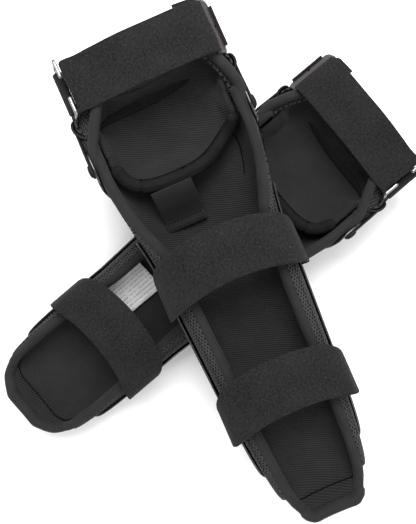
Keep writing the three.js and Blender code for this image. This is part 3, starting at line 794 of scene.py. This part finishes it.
def dark_steel():
    """Blackened steel, rubbed at its high spots."""
    paint = Paint("dark_steel", 0.35, metallic=1.0)
    _, _, cloth = paint.cloth_axes()
    rubbed = paint.noise(cloth, 0.5, 3.0)
    paint.colour(paint.mixed(rubbed, (0.008, 0.008, 0.0085), (0.045, 0.044, 0.045)))
    paint.roughness(paint.between(rubbed, 0.28, 0.5))
    paint.bump(rubbed, 0.00005)
    return paint.material


def shell_plastic(name, smoothest, roughest, specular, coat):
    """Black moulded shell with faint scuffs, and wear along its edges."""
    paint = Paint(name, smoothest, specular=specular, coat=coat)
    u, v, cloth = paint.cloth_axes()
    stretched = paint.node("CombineXYZ", {0: paint.math("MULTIPLY", u, 5.0), 1: v}).outputs[0]
    scuffs = paint.mask(paint.noise(stretched, 0.06, 6.0), 0.6, 0.78)
    haze = paint.noise(cloth, 0.03, 4.0)
    edge = paint.mask(paint.node("NewGeometry", {}).outputs["Pointiness"], 0.53, 0.62)
    base = paint.mixed(haze, (0.0035, 0.0035, 0.0038), (0.010, 0.010, 0.011))
    marked = paint.over(paint.math("MULTIPLY", scuffs, 0.35), base, (0.05, 0.05, 0.052))
    paint.colour(paint.over(paint.math("MULTIPLY", edge, 0.2), marked, (0.05, 0.05, 0.052)))
    worn = paint.math("MAXIMUM", scuffs, edge)
    paint.roughness(paint.between(paint.math("MULTIPLY_ADD", haze, 0.25, worn), smoothest, roughest))
    paint.bump(haze, 0.0002)
    return paint.material


def moulded_plastic():
    """Brown-black moulded plastic with a fine grain and rubbed high spots."""
    paint = Paint("moulded_plastic", 0.45, specular=0.45)
    _, _, cloth = paint.cloth_axes()
    grain = paint.noise(cloth, 1.6, 3.0)
    rubbed = paint.noise(cloth, 0.15, 3.0)
    tone = paint.total((grain, 0.3), (rubbed, 0.6))
    paint.colour(paint.mixed(tone, (0.006, 0.0042, 0.0035), (0.030, 0.0205, 0.017)))
    paint.roughness(paint.between(rubbed, 0.32, 0.55))
    paint.bump(grain, 0.00008)
    return paint.material


def label_cloth():
    """White satin label cloth with blank rows of pale printed dashes."""
    paint = Paint("label_cloth", 0.5, sheen=0.1, specular=0.35)
    u, v, cloth = paint.cloth_axes()
    threads = paint.waves(v, 0.6)
    wear = paint.noise(cloth, 0.08, 3.0)
    rows = paint.mask(paint.waves(v, 4.6), 0.70, 0.86)
    row = paint.math("FLOOR", paint.math("MULTIPLY", v, 1 / 4.6))
    along_row = paint.node("CombineXYZ", {0: u, 1: paint.math("MULTIPLY", row, 7.0)}).outputs[0]
    breaks = paint.mask(paint.noise(along_row, 0.4, 1.0), 0.40, 0.48)
    printed = paint.math("MULTIPLY", rows, breaks)
    base = paint.mixed(wear, (0.50, 0.50, 0.51), (0.78, 0.78, 0.79))
    paint.colour(paint.over(paint.math("MULTIPLY", printed, 0.55), base, (0.16, 0.16, 0.17)))
    paint.roughness(paint.between(wear, 0.4, 0.6))
    paint.bump(threads, 0.00012)
    return paint.material


def thread(name, dark, light):
    """Twisted sewing thread."""
    paint = Paint(name, 0.85, specular=0.05)
    u, v, _ = paint.cloth_axes()
    twist = paint.waves(paint.math("MULTIPLY_ADD", v, 9.0, u), 2.0)
    paint.colour(paint.mixed(twist, dark, light))
    paint.roughness(paint.between(twist, 0.5, 0.75))
    paint.bump(twist, 0.0001)
    return paint.material


TAPE = binding_tape()
SPACER = spacer_mesh()
STRAP = elastic_strap()
WEB = webbing()
SMOOTH = smooth_cloth()
STEEL = steel()
DARK_STEEL = dark_steel()
GLOSS = shell_plastic("gloss_shell", 0.1, 0.5, 0.5, 0.6)
SATIN = shell_plastic("satin_shell", 0.55, 0.8, 0.15, 0.0)
MOULDED = moulded_plastic()
LABEL = label_cloth()
DARK_THREAD = thread("dark_thread", (0.002, 0.002, 0.0021), (0.011, 0.011, 0.0112))
PALE_THREAD = thread("pale_thread", (0.004, 0.004, 0.0041), (0.02, 0.02, 0.0205))
# The welt cord's near-black colour is painted shade: it draws the dark line of shade that runs along each
# seam.
PAINTED_SEAM_SHADE = thread("welt_painted_shade", (0.0008, 0.0008, 0.0008), (0.003, 0.003, 0.003))


# ---------------------------------------------------------------- hard shells
RIB_HALF = 22.0
RIB_EDGE = 8.0
FLARE = 2.2


def raised_rib(surface, start, end, flare):
    """How much to add to the depths of a shell: a flat-faced rib stands down to the ground on its front, and
    its edges stand away from the liner."""

    def shape(turn, y):
        point = surface(turn, y)
        edge = flare * smoothstep(degrees(50), degrees(84), np.abs(turn))
        beside = 1 - smoothstep(RIB_HALF - RIB_EDGE, RIB_HALF, np.abs(point[..., 0]))
        within = smoothstep(start, start + RIB_EDGE, y) * (1 - smoothstep(end - RIB_EDGE, end, y))
        down = np.maximum(point[..., 2] - 0.1, 0)
        return -down * beside * within - edge, -edge

    return shape


def shin_shell(guard):
    def edge(y):
        rise = np.clip((y - SHELL_START) / 12, 0, 1)
        return SHIN_SHELL_TURN(y) * (0.82 + 0.18 * np.sqrt(1 - (1 - rise) ** 2))

    made = panel(
        guard, "shell_lower", guard.surface,
        (lambda y: -edge(y), edge), (SHELL_START, KNEE_SHELL_START - 1),
        (0, SHELL), (150, 265), 60, 60, raised_rib(guard.surface, 58, 300, FLARE),
    )
    finish_piece(made, guard, "shin_shell", "gloss_shell", GLOSS, "shin_shell")


def knee_shell(guard):
    made = panel(
        guard, "shell_knee", guard.surface,
        (lambda y: -KNEE_SHELL_TURN(y), KNEE_SHELL_TURN), (KNEE_SHELL_START, KNEE_SHELL_END),
        (0, SHELL), (190, 100), 72, 44, raised_rib(guard.surface, 335, 415, 0.6),
    )
    finish_piece(made, guard, "knee_shell", "gloss_shell", GLOSS, "knee_shell")


# ---------------------------------------------------------------- padded pieces
LINER_SWELL = 1.0
PAD_SWELL = 1.8


def shin_liner(guard, lining):
    """The foam channel, a little uneven."""

    def shape(turn, y):
        return 0, 0.7 * ripple(inward(guard.surface, turn, y, 0), 70, 1 + guard.splay)

    made = panel(
        guard, "liner", guard.surface,
        (lambda y: -guard.rim(y), guard.rim), (LINER_END, LINER_TOP),
        (LINER_DEPTHS[0] + 0.5, LINER_DEPTHS[1] - 0.5), (230, 420), 90, 150, shape, ease=1.15,
    )
    plump(made, LINER_SWELL)
    finish_piece(made, guard, "shin_liner", "ribbed_lining", lining, "shin_liner")


def cup_lift(turn):
    """How much higher the cup's lower edge is towards the loop's side."""
    return 26 * smoothstep(degrees(5), degrees(60), turn)


def knee_pad(guard, lining):
    """The knee cup and thigh pad, crowned a little between its edges."""

    def shape(turn, y):
        flat = inward(thigh_surface, turn, y, 0)
        soft = 0.7 * ripple(flat, 80, 3 + guard.splay)
        crown = 1.2 * np.cos(np.clip(turn, -1.4, 1.4)) * smoothstep(CUP_EDGE, CUP_EDGE + 30, y)
        return 0, soft + crown

    made = panel(
        guard, "cup_pad", thigh_surface,
        (lambda y: -HOOK_RIM(y), LOOP_RIM), (CUP_EDGE, WING_TOP),
        (0.6, PAD - 0.8), (200, 140), 90, 90, shape, lift=cup_lift,
    )
    plump(made, PAD_SWELL)
    finish_piece(made, guard, "knee_pad", "ribbed_lining", lining, "knee_pad")


SECTION_RADIUS = 60  # makes an angle round a surface about as long as its arc


def seam(guard, name, body_node, surface, turns, stations, depth, radius=0.75):
    """A welted seam along a line on a surface. Its cord is painted near black, which is painted shade that
    draws the dark line along the seam.
    """
    pairs = smooth_line(list(zip(np.array(turns) * SECTION_RADIUS, stations)), 70)
    turn = pairs[:, 0] / SECTION_RADIUS
    y = pairs[:, 1]
    centres = inward(surface, turn, y, depth)
    made = tube(guard, name, centres, normals_of(surface, turn, y), radius, radius, 8, 2.0)
    finish_piece(made, guard, body_node, "smooth_cloth", PAINTED_SEAM_SHADE)


def liner_seams(guard):
    """The seams inside the liner: one round its ankle end, and a curved one beside the knee."""
    stations = [66, 52, 42, 34, 28, 23, 19, 17] if guard.splay else [22, 19, 17.5, 17]
    share = 0.86 if guard.splay else 0.8
    edge = [share * guard.rim(y - 10) for y in stations]
    across = np.array([-0.7, -0.35, 0, 0.35, 0.7]) * edge[-1]
    turns = [-turn for turn in edge] + list(across) + edge[::-1]
    stations = stations + [16.5] * len(across) + stations[::-1]
    seam(guard, "end_seam", "shin_liner", guard.surface, turns, stations, LINER_DEPTHS[1] + 0.5, 0.55)
    turns = [degrees(value) for value in (45, 51, 54, 52, 47)]
    seam(
        guard, "side_seam", "shin_liner", guard.surface, turns, (391, 379, 366, 352, 340),
        LINER_DEPTHS[1] + 0.5, 0.5,
    )


CREASES = (degrees(-36), degrees(3))


def knee_roll(guard):
    """The padded roll round the cup's lower edge and up its sides, pinched by stitching at the ends of its
    flat part, and the seam that sews it to the cup."""
    turns = np.linspace(degrees(-87), degrees(87), 150)
    stations = CUP_EDGE - 1 + cup_lift(turns)
    centres = inward(thigh_surface, turns, stations, PAD / 2 + 1.2)
    normals = normals_of(thigh_surface, turns, stations)
    distance = distances(centres)
    places = [np.interp(turn, turns, distance) for turn in CREASES]

    def narrow(at):
        pinch = sum(np.exp(-(((at - place) / 1.3) ** 2)) for place in places)
        return 1 - 0.22 * pinch + 0.015 * np.sin(at / 9)

    made = tube(guard, "cup_roll", centres, normals, 5.4, 6.3, 20, 2.2, narrow)
    finish_piece(made, guard, "knee_roll", "smooth_cloth", SMOOTH, "knee_roll")
    turns = np.radians(np.linspace(-82, 82, 13))
    seam(
        guard, "roll_seam", "knee_pad", thigh_surface, turns, CUP_EDGE + 6.2 + cup_lift(turns), PAD + 1.9, 0.9
    )


def top_fold(guard):
    """The pad's cover, folded into a slim roll under the thigh strap's lower edge."""
    turns = np.linspace(degrees(-62), degrees(40), 60)
    y = np.linspace(441, 447, 60) - PIVOT_Y
    y = PIVOT_Y + y / (0.695 + 0.305 * np.minimum(1, np.abs(turns) / degrees(80)) ** 2)
    centres = inward(thigh_surface, turns, y, PAD + 2.2)
    normals = normals_of(thigh_surface, turns, y)
    length = distances(centres)[-1]

    def narrow(at):
        return np.maximum(0.12, np.sin(math.pi * np.clip(at / length, 0.02, 0.98)) ** 0.6)

    made = tube(guard, "pad_fold", centres, normals, 5.0, 3.6, 18, 2.0, narrow)
    finish_piece(made, guard, "knee_pad", "smooth_cloth", SMOOTH)


# ---------------------------------------------------------------- bindings, mesh and seams
END_SHARES = np.array([-0.9, -0.75, -0.55, -0.3, 0, 0.3, 0.55, 0.75, 0.9])


def edge_line(surface, rims, stations, end, depth, out):
    """The line of a binding, up one side of a panel, round its end and back down the other side, and the
    surface's normals on the way. It runs a distance out from the panel's edge."""
    outward = 1 if end > stations[0] else -1
    turns = [-rims[0](y) for y in stations]
    turns += [share * rims[0 if share < 0 else 1](end) for share in END_SHARES]
    turns += [rims[1](y) for y in reversed(stations)]
    turns = np.array(turns, float)
    ups = np.array([*stations, *[end] * len(END_SHARES), *reversed(stations)], float)
    points = inward(surface, turns, ups, depth)
    normals = normals_of(surface, turns, ups)
    ahead = unit(np.gradient(points, axis=0))
    return points + unit(np.cross(normals, ahead)) * outward * out, normals


def binding(guard, name, line, normals, half_across, half_thick, count):
    """A rounded tape along a rim."""
    stations = distances(line)
    ups = unit(interpolated(np.linspace(0, stations[-1], count), stations, normals))

    def uneven(at):
        return 1 + 0.035 * np.sin(at / 17) + 0.025 * np.sin(at / 7.3 + 1)

    return tube(guard, name, smooth_line(line, count), ups, half_across, half_thick, 18, 2.15, uneven)


def shin_binding(guard):
    stations = (
        LINER_TOP, 400, 380, 350, 320, 290, 240, 190, 140, 100, 70, 48, 38, 30, 24, 19, 15, 12, 9.5, 7.8, 6.7,
    )
    line, normals = edge_line(guard.surface, (guard.rim, guard.rim), stations, LINER_END, RIM_DEPTH, 1.5)
    made = binding(guard, "liner_binding", line, normals, 5.4, 5.3, 300)
    finish_piece(made, guard, "shin_binding", "binding_tape", TAPE, "shin_binding")


def binding_stitches(guard):
    """A row of stitches beside the shin binding, on the spacer mesh, one on each side of the guard."""
    y = np.linspace(66, 384, 120)
    for side, word in ((-1, "hook"), (1, "loop")):
        turn = side * (guard.rim(y) - degrees(13))
        line = inward(guard.surface, turn, y, SHELL - 0.3)
        made = stitches(guard, "binding_stitches_" + word, line, -normals_of(guard.surface, turn, y))
        finish_piece(made, guard, "shin_liner", "binding_tape", PALE_THREAD)


# The wings' inner edges, in the guard's frame, from beside the knee axis to under the thigh strap, and the
# wings' outer edges beside them. The ring's side folds in over the cup.
WING_INNER = {
    -1: [(-75, 394, 59), (-72, 414, 65), (-65, 428, 68), (-57, 442, 68.5), (-51, 456, 67)],
    1: [(75, 394, 59), (76, 414, 64), (73, 428, 67), (68, 442, 68.5), (63, 456, 68)],
}
WING_OUTER = {
    -1: [(-80, 388, 44), (-83, 412, 50), (-82, 428, 53), (-80, 442, 55), (-78, 456, 56)],
    1: [(80, 388, 44), (82, 412, 50), (81, 428, 53), (79, 442, 55), (77, 456, 56)],
}


def thigh_binding(guard):
    """Tape along both wings' edges and the pad's top edge."""
    line, normals = edge_line(thigh_surface, (HOOK_RIM, LOOP_RIM), (478,), WING_TOP, PAD / 2, 1.0)
    up = np.array([[0.35, 0, 1]] * 5)
    line = np.concatenate([WING_INNER[-1], line[1:-1], WING_INNER[1][::-1]])
    normals = np.concatenate([up, normals[1:-1], up * (-1, 1, 1)])
    made = binding(guard, "wing_binding", line, normals, 5.0, 4.8, 240)
    finish_piece(made, guard, "thigh_binding", "binding_tape", TAPE, "thigh_binding")


def wing_side(guard, side, word):
    """The wing's outer side of spacer mesh, from beside the knee to under the thigh strap."""
    rows = 40
    tuck = 8 if side > 0 else 3
    inner = smooth_line(WING_INNER[side], rows) - np.array([side * tuck, 0, 5])
    outer = smooth_line(WING_OUTER[side], rows)
    shares = np.linspace(0, 1, 18)[None, :, None]
    grid = outer[:, None, :] * (1 - shares) + inner[:, None, :] * shares
    bulge = np.sin(math.pi * shares[..., 0]) * 2.0
    grid = grid + np.array([side, 0, 0.6]) * bulge[..., None]
    thick = np.array([side, 0, 1.0]) * 0.8
    made = mesh_object(
        guard, "wing_side_" + word, *closed_sheet(grid + thick, grid - thick, measured(grid))
    )
    finish_piece(made, guard, "thigh_mesh_" + word, "spacer_mesh", SPACER)
    declare_cloth(made, guard, "cup_pad")


def declare_cloth(made, guard, under):
    """Reads a panel's cloth uvs, in metres, and the name of the piece that it lies over, and keeps neither.
    """
    layer = made.data.uv_layers["cloth"].data
    spots = np.zeros(len(layer) * 2)
    layer.foreach_get("uv", spots)
    spots = spots.reshape(-1, 2) * MM
    guard.node(under)


def shin_mesh(guard, side, word):
    """Spacer mesh on the outside of the liner's wall, from inside the hard shell's edge to the binding."""
    low = lambda y: np.maximum(SHIN_SHELL_TURN(y), KNEE_SHELL_TURN(y)) - degrees(6)
    start = lambda y: side * (low(y) if side > 0 else guard.rim(y))
    stop = lambda y: side * (guard.rim(y) if side > 0 else low(y))
    made = panel(
        guard, "mesh_" + word, guard.surface, (start, stop), (34, 386),
        (SHELL, SHELL + 1.8), (40, 350), 12, 110,
    )
    finish_piece(made, guard, "shin_mesh_" + word, "spacer_mesh", SPACER, "shin_mesh_" + word)
    declare_cloth(made, guard, "liner")


def thigh_mesh(guard, side, word):
    rim = LOOP_RIM if side > 0 else HOOK_RIM
    low = constant(side * degrees(50))
    high = lambda y: side * (rim(y) - degrees(2))
    turns = (low, high) if side > 0 else (high, low)
    made = panel(
        guard, "wing_mesh_" + word, thigh_surface, turns, (414, WING_TOP - 2),
        (-MESH, -0.2), (70, 90), 20, 30,
    )
    finish_piece(made, guard, "thigh_mesh_" + word, "spacer_mesh", SPACER, "thigh_mesh_" + word)
    declare_cloth(made, guard, "cup_pad")


def centre_tab(guard):
    """Webbing from the cup's roll down to the liner's floor, with a double-sewn band at its lower end."""
    path = smooth_line([(357, 47.8), (350, 43.6), (342, 36.4), (333, 27.2), (326, 22), (317, 19.2)], 60)
    tangent = unit(np.gradient(path, axis=0))
    up = np.stack([-tangent[:, 1], tangent[:, 0]], axis=-1)
    up = up * np.sign(up[:, [1]])
    shares = edge_steps(16, WEBBING / 2, TAB_WIDTH)
    full = fullness(shares, WEBBING / 2, TAB_WIDTH)[None, :]
    full = full * fullness(np.linspace(0, 1, 60), WEBBING / 2, 60)[:, None]
    distance = distances(path)
    hem = smoothstep(distance[-1] - 9, distance[-1] - 8, distance)[:, None]
    x = TAB_CENTRE + TAB_WIDTH * (shares[None, :] - 0.5) + 0 * full

    def face(height):
        return np.stack([x, path[:, [0]] + up[:, [0]] * height, path[:, [1]] + up[:, [1]] * height], axis=-1)

    front = face(full + hem)
    back = face(-full)
    uvs = np.stack(np.broadcast_arrays(TAB_WIDTH * shares[None, :], distance[:, None]), axis=-1)
    made = mesh_object(guard, "tab", *closed_sheet(front, back, uvs))
    made.data.materials.append(WEB)
    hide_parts(guard.node("centre_tab"))
    points = guard.place([(TAB_CENTRE, 352, 44), (TAB_CENTRE, 314, 19)])
    BODY_OF[guard.node("knee_pad")]
    BODY_OF[guard.node("shin_liner")]
    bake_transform(made)
    x = np.linspace(TAB_CENTRE - TAB_WIDTH / 2 + 2, TAB_CENTRE + TAB_WIDTH / 2 - 2, 20)
    for word, y in (("upper", 325.2), ("lower", 319.2)):
        z = np.interp(y, path[::-1, 0], path[::-1, 1]) + 2.1
        line = np.stack([x, y + 0 * x, z + 0 * x], axis=-1)
        row = stitches(guard, "tab_stitches_" + word, line, np.tile((0, -0.25, 1), (20, 1)), 3.4)
        finish_piece(row, guard, "shin_liner", "webbing", DARK_THREAD)


def care_label(guard):
    """A blank cloth label, sewn in at the liner's side and lying loosely down to its floor."""
    path = [(47.5, 47), (45.5, 42), (41, 36), (31, 28), (17, 22.5), (4, 20)]
    made = ribbon(guard, "label", path, 158, 48, 0.6, count=40, wave=0.9, seed=4, inside=False)
    finish_piece(made, guard, "care_label", "label_cloth", LABEL, "care_label")
    declare_cloth(made, guard, "liner")


# ---------------------------------------------------------------- straps
def lower_strap(guard, name, y, crown):
    """A strap over the shin's open back, leaning towards the knee at its crown."""
    side = max(shell_half(guard.splay, y), shell_half(guard.splay, y + STRAP_WIDTH + 6)) + ELASTIC + 1
    path = [
        (-side - 0.5, HINGE_Z), (-side - 1.5, 50), (-side + 5, 63), (-side * 0.6, crown - 6), (0, crown),
        (side * 0.6, crown - 6), (side - 5, 63), (side + 1.5, 50), (side + 0.5, 36), (side - 1, 24),
    ]

    def lean(points):
        share = np.abs(points[:, 0]) / side
        arch = STRAP_LEAN * (1.12 - 1.15 * share**2)
        low = 1 - smoothstep(HINGE_Z - 12, HINGE_Z + 22, points[:, 1])
        return arch * (1 - low) + low * -2

    def trim(points):
        """The strap's upper corners are round where it bends over the shell's sides."""
        into = np.clip((np.abs(points[:, 0]) - side + 15) / 15, 0, 1)
        return 11 * (1 - np.sqrt(1 - into**2))

    made = ribbon(
        guard, name + "_band", path, y, STRAP_WIDTH + 2, ELASTIC,
        lean=lean, trim=trim, count=120, wave=0.5, seed=y,
    )
    finish_piece(made, guard, name + "_strap", "elastic_strap", STRAP, name + "_strap")


def strap_anchor(guard, name, y):
    """The strap's fixed end: doubled webbing sewn down in a square and riveted to the shell's side."""
    surface = guard.surface
    made = panel(
        guard, name + "_fixed_end", surface,
        (constant(-degrees(84)), constant(-degrees(46))), (y + 1, y + STRAP_WIDTH - 1),
        (-SURFACE_GAP - WEBBING, -SURFACE_GAP), (34, 48), 16, 24,
    )
    finish_piece(made, guard, name + "_anchor", "webbing", WEB, name + "_anchor")
    turns = np.radians([-81, -50, -50, -81, -81])
    ups = np.array([y + 4, y + 4, y + STRAP_WIDTH - 4, y + STRAP_WIDTH - 4, y + 4])
    corners = np.linspace(0, 4, 81)
    turns = np.interp(corners, range(5), turns)
    ups = np.interp(corners, range(5), ups)
    line = inward(surface, turns, ups, -SURFACE_GAP - WEBBING)
    row = stitches(guard, name + "_stitches", line, -normals_of(surface, turns, ups), 3.4)
    finish_piece(row, guard, name + "_anchor", "webbing", DARK_THREAD)


def anchor_rivet(guard, name, y):
    turn = -degrees(62)
    centre = y + STRAP_WIDTH / 2
    outward = -normals_of(guard.surface, np.array([turn]), np.array([centre]))[0]
    base = inward(guard.surface, np.array([turn]), np.array([centre]), -2 * SURFACE_GAP - WEBBING)[0]
    profile = [(0, 0), (5.5, 0), (5.7, 0.4), (5.3, 1.0), (4.4, 1.6), (3.0, 2.1), (1.5, 2.3), (0, 2.35)]
    made = lathe(guard, name + "_rivet_head", base, outward, profile)
    finish_piece(made, guard, name + "_rivet", "steel", STEEL, name + "_rivet")


def thigh_strap(guard):
    """The elastic strap, from the ring's split bar to a fold round the moulded loop's upper bar."""
    path = [
        (-68.8, 69), (-69.4, 73.5), (-67, 76), (-61, 76.4), (-56, 75.4), (-50, 75.6), (-40, 78), (0, 83),
        (40, 83), (56, 81.5), (66, 79), (72, 76.5), (72.7, 73),
    ]
    made = ribbon(
        guard, "thigh_band", path, THIGH_STRAP_Y - 2, STRAP_WIDTH + 1, ELASTIC,
        trim=lambda points: 5 * smoothstep(66, 73, np.abs(points[:, 0])), count=130, wave=1.0, seed=5,
    )
    finish_piece(made, guard, "thigh_strap", "elastic_strap", STRAP, "thigh_strap")
    tail = [(72.5, 73.6), (66, 74.4), (58, 76), (46, 78)]
    back = ribbon(
        guard, "thigh_band_end", tail, THIGH_STRAP_Y + 3, STRAP_WIDTH, ELASTIC,
        trim=lambda points: 5 * smoothstep(64, 72, points[:, 0]), count=50, wave=0.8, seed=8,
    )
    finish_piece(back, guard, "thigh_strap", "elastic_strap", STRAP)


# ---------------------------------------------------------------- ring, loop and their webbing
def rounded_corners(corners, radius, arc=7):
    """An open line through corners, with each inner corner rounded."""
    corners = [np.array(corner, float) for corner in corners]
    line = [corners[0]]
    for before, corner, after in zip(corners, corners[1:], corners[2:]):
        start = corner + unit(before - corner) * radius
        end = corner + unit(after - corner) * radius
        for t in np.linspace(0, 1, arc):
            line.append((1 - t) ** 2 * start + 2 * t * (1 - t) * corner + t * t * end)
    line.append(corners[-1])
    return np.array(line)


def dense(line, step=1.0):
    """The same line with points about a step apart."""
    distance = distances(line)
    wanted = np.linspace(0, distance[-1], int(distance[-1] / step) + 2)
    return interpolated(wanted, distance, line)


def hook_ring(guard):
    """Steel ring whose upper bar is split, so that the strap's end can be slipped out."""
    far = RING_REACH - BAR / 2 + 2
    edge = RING_HALF - BAR / 2
    corners = [(far, RING_SPLIT), (far, edge), (0, edge), (0, -edge), (far, -edge), (far, -RING_SPLIT)]
    flat = dense(rounded_corners(corners, 3.5))
    reach = np.array([math.cos(RING_TILT), 0, math.sin(RING_TILT)])
    centre_y = THIGH_STRAP_Y + STRAP_WIDTH / 2
    centres = np.array([RING_BAR[0], centre_y, RING_BAR[1]]) + flat[:, [0]] * reach
    centres = centres + flat[:, [1]] * np.array([0, 1, 0])
    normals = np.tile((-math.sin(RING_TILT), 0, math.cos(RING_TILT)), (len(centres), 1))
    made = tube(guard, "ring", centres, normals, 2.1, 1.6, 16, 3.2)
    finish_piece(made, guard, "hook_ring", "steel", STEEL, "hook_ring")


def moulded_loop(guard):
    """The moulded loop, with fine ribs along its bars."""
    far = LOOP_REACH
    edge = LOOP_HALF - BAR / 2
    reach = np.array([-math.cos(LOOP_TILT), 0, math.sin(LOOP_TILT)])
    up = np.array([math.sin(LOOP_TILT), 0, math.cos(LOOP_TILT)])
    centre = np.array([LOOP_BAR[0], THIGH_STRAP_Y + STRAP_WIDTH / 2, LOOP_BAR[1]])
    corners = [(0, 0), (0, edge), (far, edge), (far, -edge), (0, -edge), (0, 0)]
    flat = dense(rounded_corners(corners, 4.0))
    centres = centre + flat[:, [0]] * reach + flat[:, [1]] * np.array([0, 1, 0])
    made = tube(guard, "loop", centres, np.tile(up, (len(centres), 1)), 2.4, 1.7, 16, 3.4)
    finish_piece(made, guard, "moulded_loop", "moulded_plastic", MOULDED, "moulded_loop")
    for i, share in enumerate((3.2, 6.0, 8.8)):
        flat = dense(np.array([(share, -edge), (share, edge)]))
        line = centre + flat[:, [0]] * reach + flat[:, [1]] * np.array([0, 1, 0]) + up * 0.4
        bar = tube(guard, "loop_bar_" + str(i), line, np.tile(up, (len(line), 1)), 1.1, 1.3, 12)
        finish_piece(bar, guard, "moulded_loop", "moulded_plastic", MOULDED)


def bar_anchor(guard, name, bar, side, width):
    """Webbing folded round a bar and sewn down the outside of a wing."""
    wing = THIGH_HALF(THIGH_STRAP_Y + 3) + LAYER_GAP + MESH
    x = side * (wing + SURFACE_GAP + WEBBING) - bar[0]
    outer = 2.9 + WEBBING
    path = [(x, -34), (x, -20), (x, -6)]
    for angle in np.linspace(0, 270 if side < 0 else 20, 13):
        turned = math.radians(angle if side > 0 else 180 - angle)
        path.append((outer * math.cos(turned), outer * math.sin(turned)))
    path = [(a + bar[0], b + bar[1]) for a, b in path]
    y = THIGH_STRAP_Y + (STRAP_WIDTH - width) / 2
    made = ribbon(
        guard, name + "_web", path, y, width, WEBBING, count=100, wave=0.2,
        seed=2, inside=side < 0,
    )
    finish_piece(made, guard, name, "webbing", WEB, name)


# ---------------------------------------------------------------- knee hinge
def thigh_shell(guard):
    """The hard plate above the knee, and its side arms down to the rivets."""
    reach = along((THIGH_SHELL_START, degrees(92)), (443, degrees(92)), (452, degrees(60)))
    made = panel(
        guard, "plate", thigh_surface, (lambda y: -reach(y), reach),
        (THIGH_SHELL_START, WING_TOP - 2), (-PLATE_GAP - SHELL, -PLATE_GAP), (170, 60), 70, 36,
    )
    finish_piece(made, guard, "thigh_shell", "gloss_shell", SATIN, "thigh_shell")
    for side, word in ((-1, "hook"), (1, "loop")):
        line = smooth_line([(PIVOT_Y, PIVOT_Z), (410, PIVOT_Z - 1.5), (425, 55.5), (437, 54)], 60)
        middle = side * (ARM_FACE + SHELL / 2)
        centres = np.stack([0 * line[:, 0] + middle, line[:, 0], line[:, 1]], axis=-1)
        arm = tube(guard, "arm_" + word, centres, np.tile((side, 0, 0), (60, 1)), 6.5, SHELL / 2, 24, 4.0)
        finish_piece(arm, guard, "thigh_shell", "gloss_shell", SATIN)
        disc = [(0, -1.25), (6.9, -1.25), (7.5, -0.7), (7.5, 0.7), (6.9, 1.25), (0, 1.25)]
        boss = lathe(guard, "arm_end_" + word, (middle, PIVOT_Y, PIVOT_Z), (side, 0, 0), disc)
        finish_piece(boss, guard, "thigh_shell", "gloss_shell", SATIN)


def pivot_rivet(guard, side, word):
    face = ARM_FACE + SHELL + SURFACE_GAP
    profile = [
        (0, -5.5), (3, -5.5), (3, 0), (5.8, 0), (6.1, 0.4), (5.7, 0.9), (4.6, 1.4), (2.8, 1.8), (0, 2.0),
    ]
    made = lathe(guard, "rivet_" + word, (side * face, PIVOT_Y, PIVOT_Z), (side, 0, 0), profile)
    finish_piece(made, guard, "pivot_rivet_" + word, "steel", DARK_STEEL, "pivot_rivet_" + word)


# ---------------------------------------------------------------- the pair
for guard in GUARDS:
    lining = ribbed_lining(guard, guard.side + "_lining", -20)
    shin_shell(guard)
    knee_shell(guard)
    shin_liner(guard, lining)
    knee_pad(guard, lining)
    liner_seams(guard)
    knee_roll(guard)
    top_fold(guard)
    shin_binding(guard)
    binding_stitches(guard)
    thigh_binding(guard)
    for side, word in ((-1, "hook_side"), (1, "loop_side")):
        shin_mesh(guard, side, word)
        thigh_mesh(guard, side, word)
        wing_side(guard, side, word)
        pivot_rivet(guard, side, word)
    centre_tab(guard)
    lower_strap(guard, "calf", CALF_STRAP_Y, guard.calf_crown)
    lower_strap(guard, "ankle", ANKLE_STRAP_Y, ANKLE_CROWN)
    for name, y in (("calf", CALF_STRAP_Y), ("ankle", ANKLE_STRAP_Y)):
        strap_anchor(guard, name, y)
        anchor_rivet(guard, name, y)
    thigh_strap(guard)
    hook_ring(guard)
    moulded_loop(guard)
    bar_anchor(guard, "ring_anchor", RING_BAR, -1, 42)
    bar_anchor(guard, "loop_anchor", LOOP_BAR, 1, 40)
    thigh_shell(guard)
care_label(GUARDS[1])


# ---------------------------------------------------------------- floor, light and camera
def floor():
    data = bpy.data.meshes.new("floor")
    half = 4.0
    corners = [(-half, -half, 0), (half, -half, 0), (half, half, 0), (-half, half, 0)]
    data.from_pydata(corners, [], [(0, 1, 2, 3)])
    made = bpy.data.objects.new("floor", data)
    bpy.context.scene.collection.objects.link(made)
    paint = bpy.data.materials.new("floor")
    paint.use_nodes = True
    shader = paint.node_tree.nodes["Principled BSDF"]
    shader.inputs["Base Color"].default_value = (0.96, 0.96, 0.96, 1)
    shader.inputs["Roughness"].default_value = 0.8
    shader.inputs["Specular IOR Level"].default_value = 0.1
    data.materials.append(paint)


def area_light(name, place, size, energy):
    """A soft square light that shines at the middle of the pair."""
    light = bpy.data.lights.new(name, "AREA")
    light.energy = energy
    light.size = size
    made = bpy.data.objects.new(name, light)
    made.location = place
    made.rotation_euler = (-Vector(place)).to_track_quat("-Z", "Y").to_euler()
    bpy.context.scene.collection.objects.link(made)


def surroundings(strength):
    world = bpy.data.worlds.new("studio")
    world.use_nodes = True
    world.node_tree.nodes["Background"].inputs[0].default_value = (1, 1, 1, 1)
    world.node_tree.nodes["Background"].inputs[1].default_value = strength
    bpy.context.scene.world = world


CAMERA_HEIGHT = 0.735
CAMERA_SHIFT = 0.0048
FOCAL_SHARE = 642 / 524  # focal length over the long side of the sensor


def camera():
    data = bpy.data.cameras.new("camera")
    data.sensor_width = 36
    data.lens = 36 * FOCAL_SHARE
    made = bpy.data.objects.new("camera", data)
    made.location = (0, CAMERA_SHIFT, CAMERA_HEIGHT)
    bpy.context.scene.collection.objects.link(made)
    bpy.context.scene.camera = made


floor()
area_light("key", (-0.1, 0.9, 1.5), 1.1, 42)
area_light("fill", (0.7, -0.8, 1.6), 1.6, 16)
surroundings(0.68)
camera()
bpy.context.scene.view_settings.view_transform = "Standard"
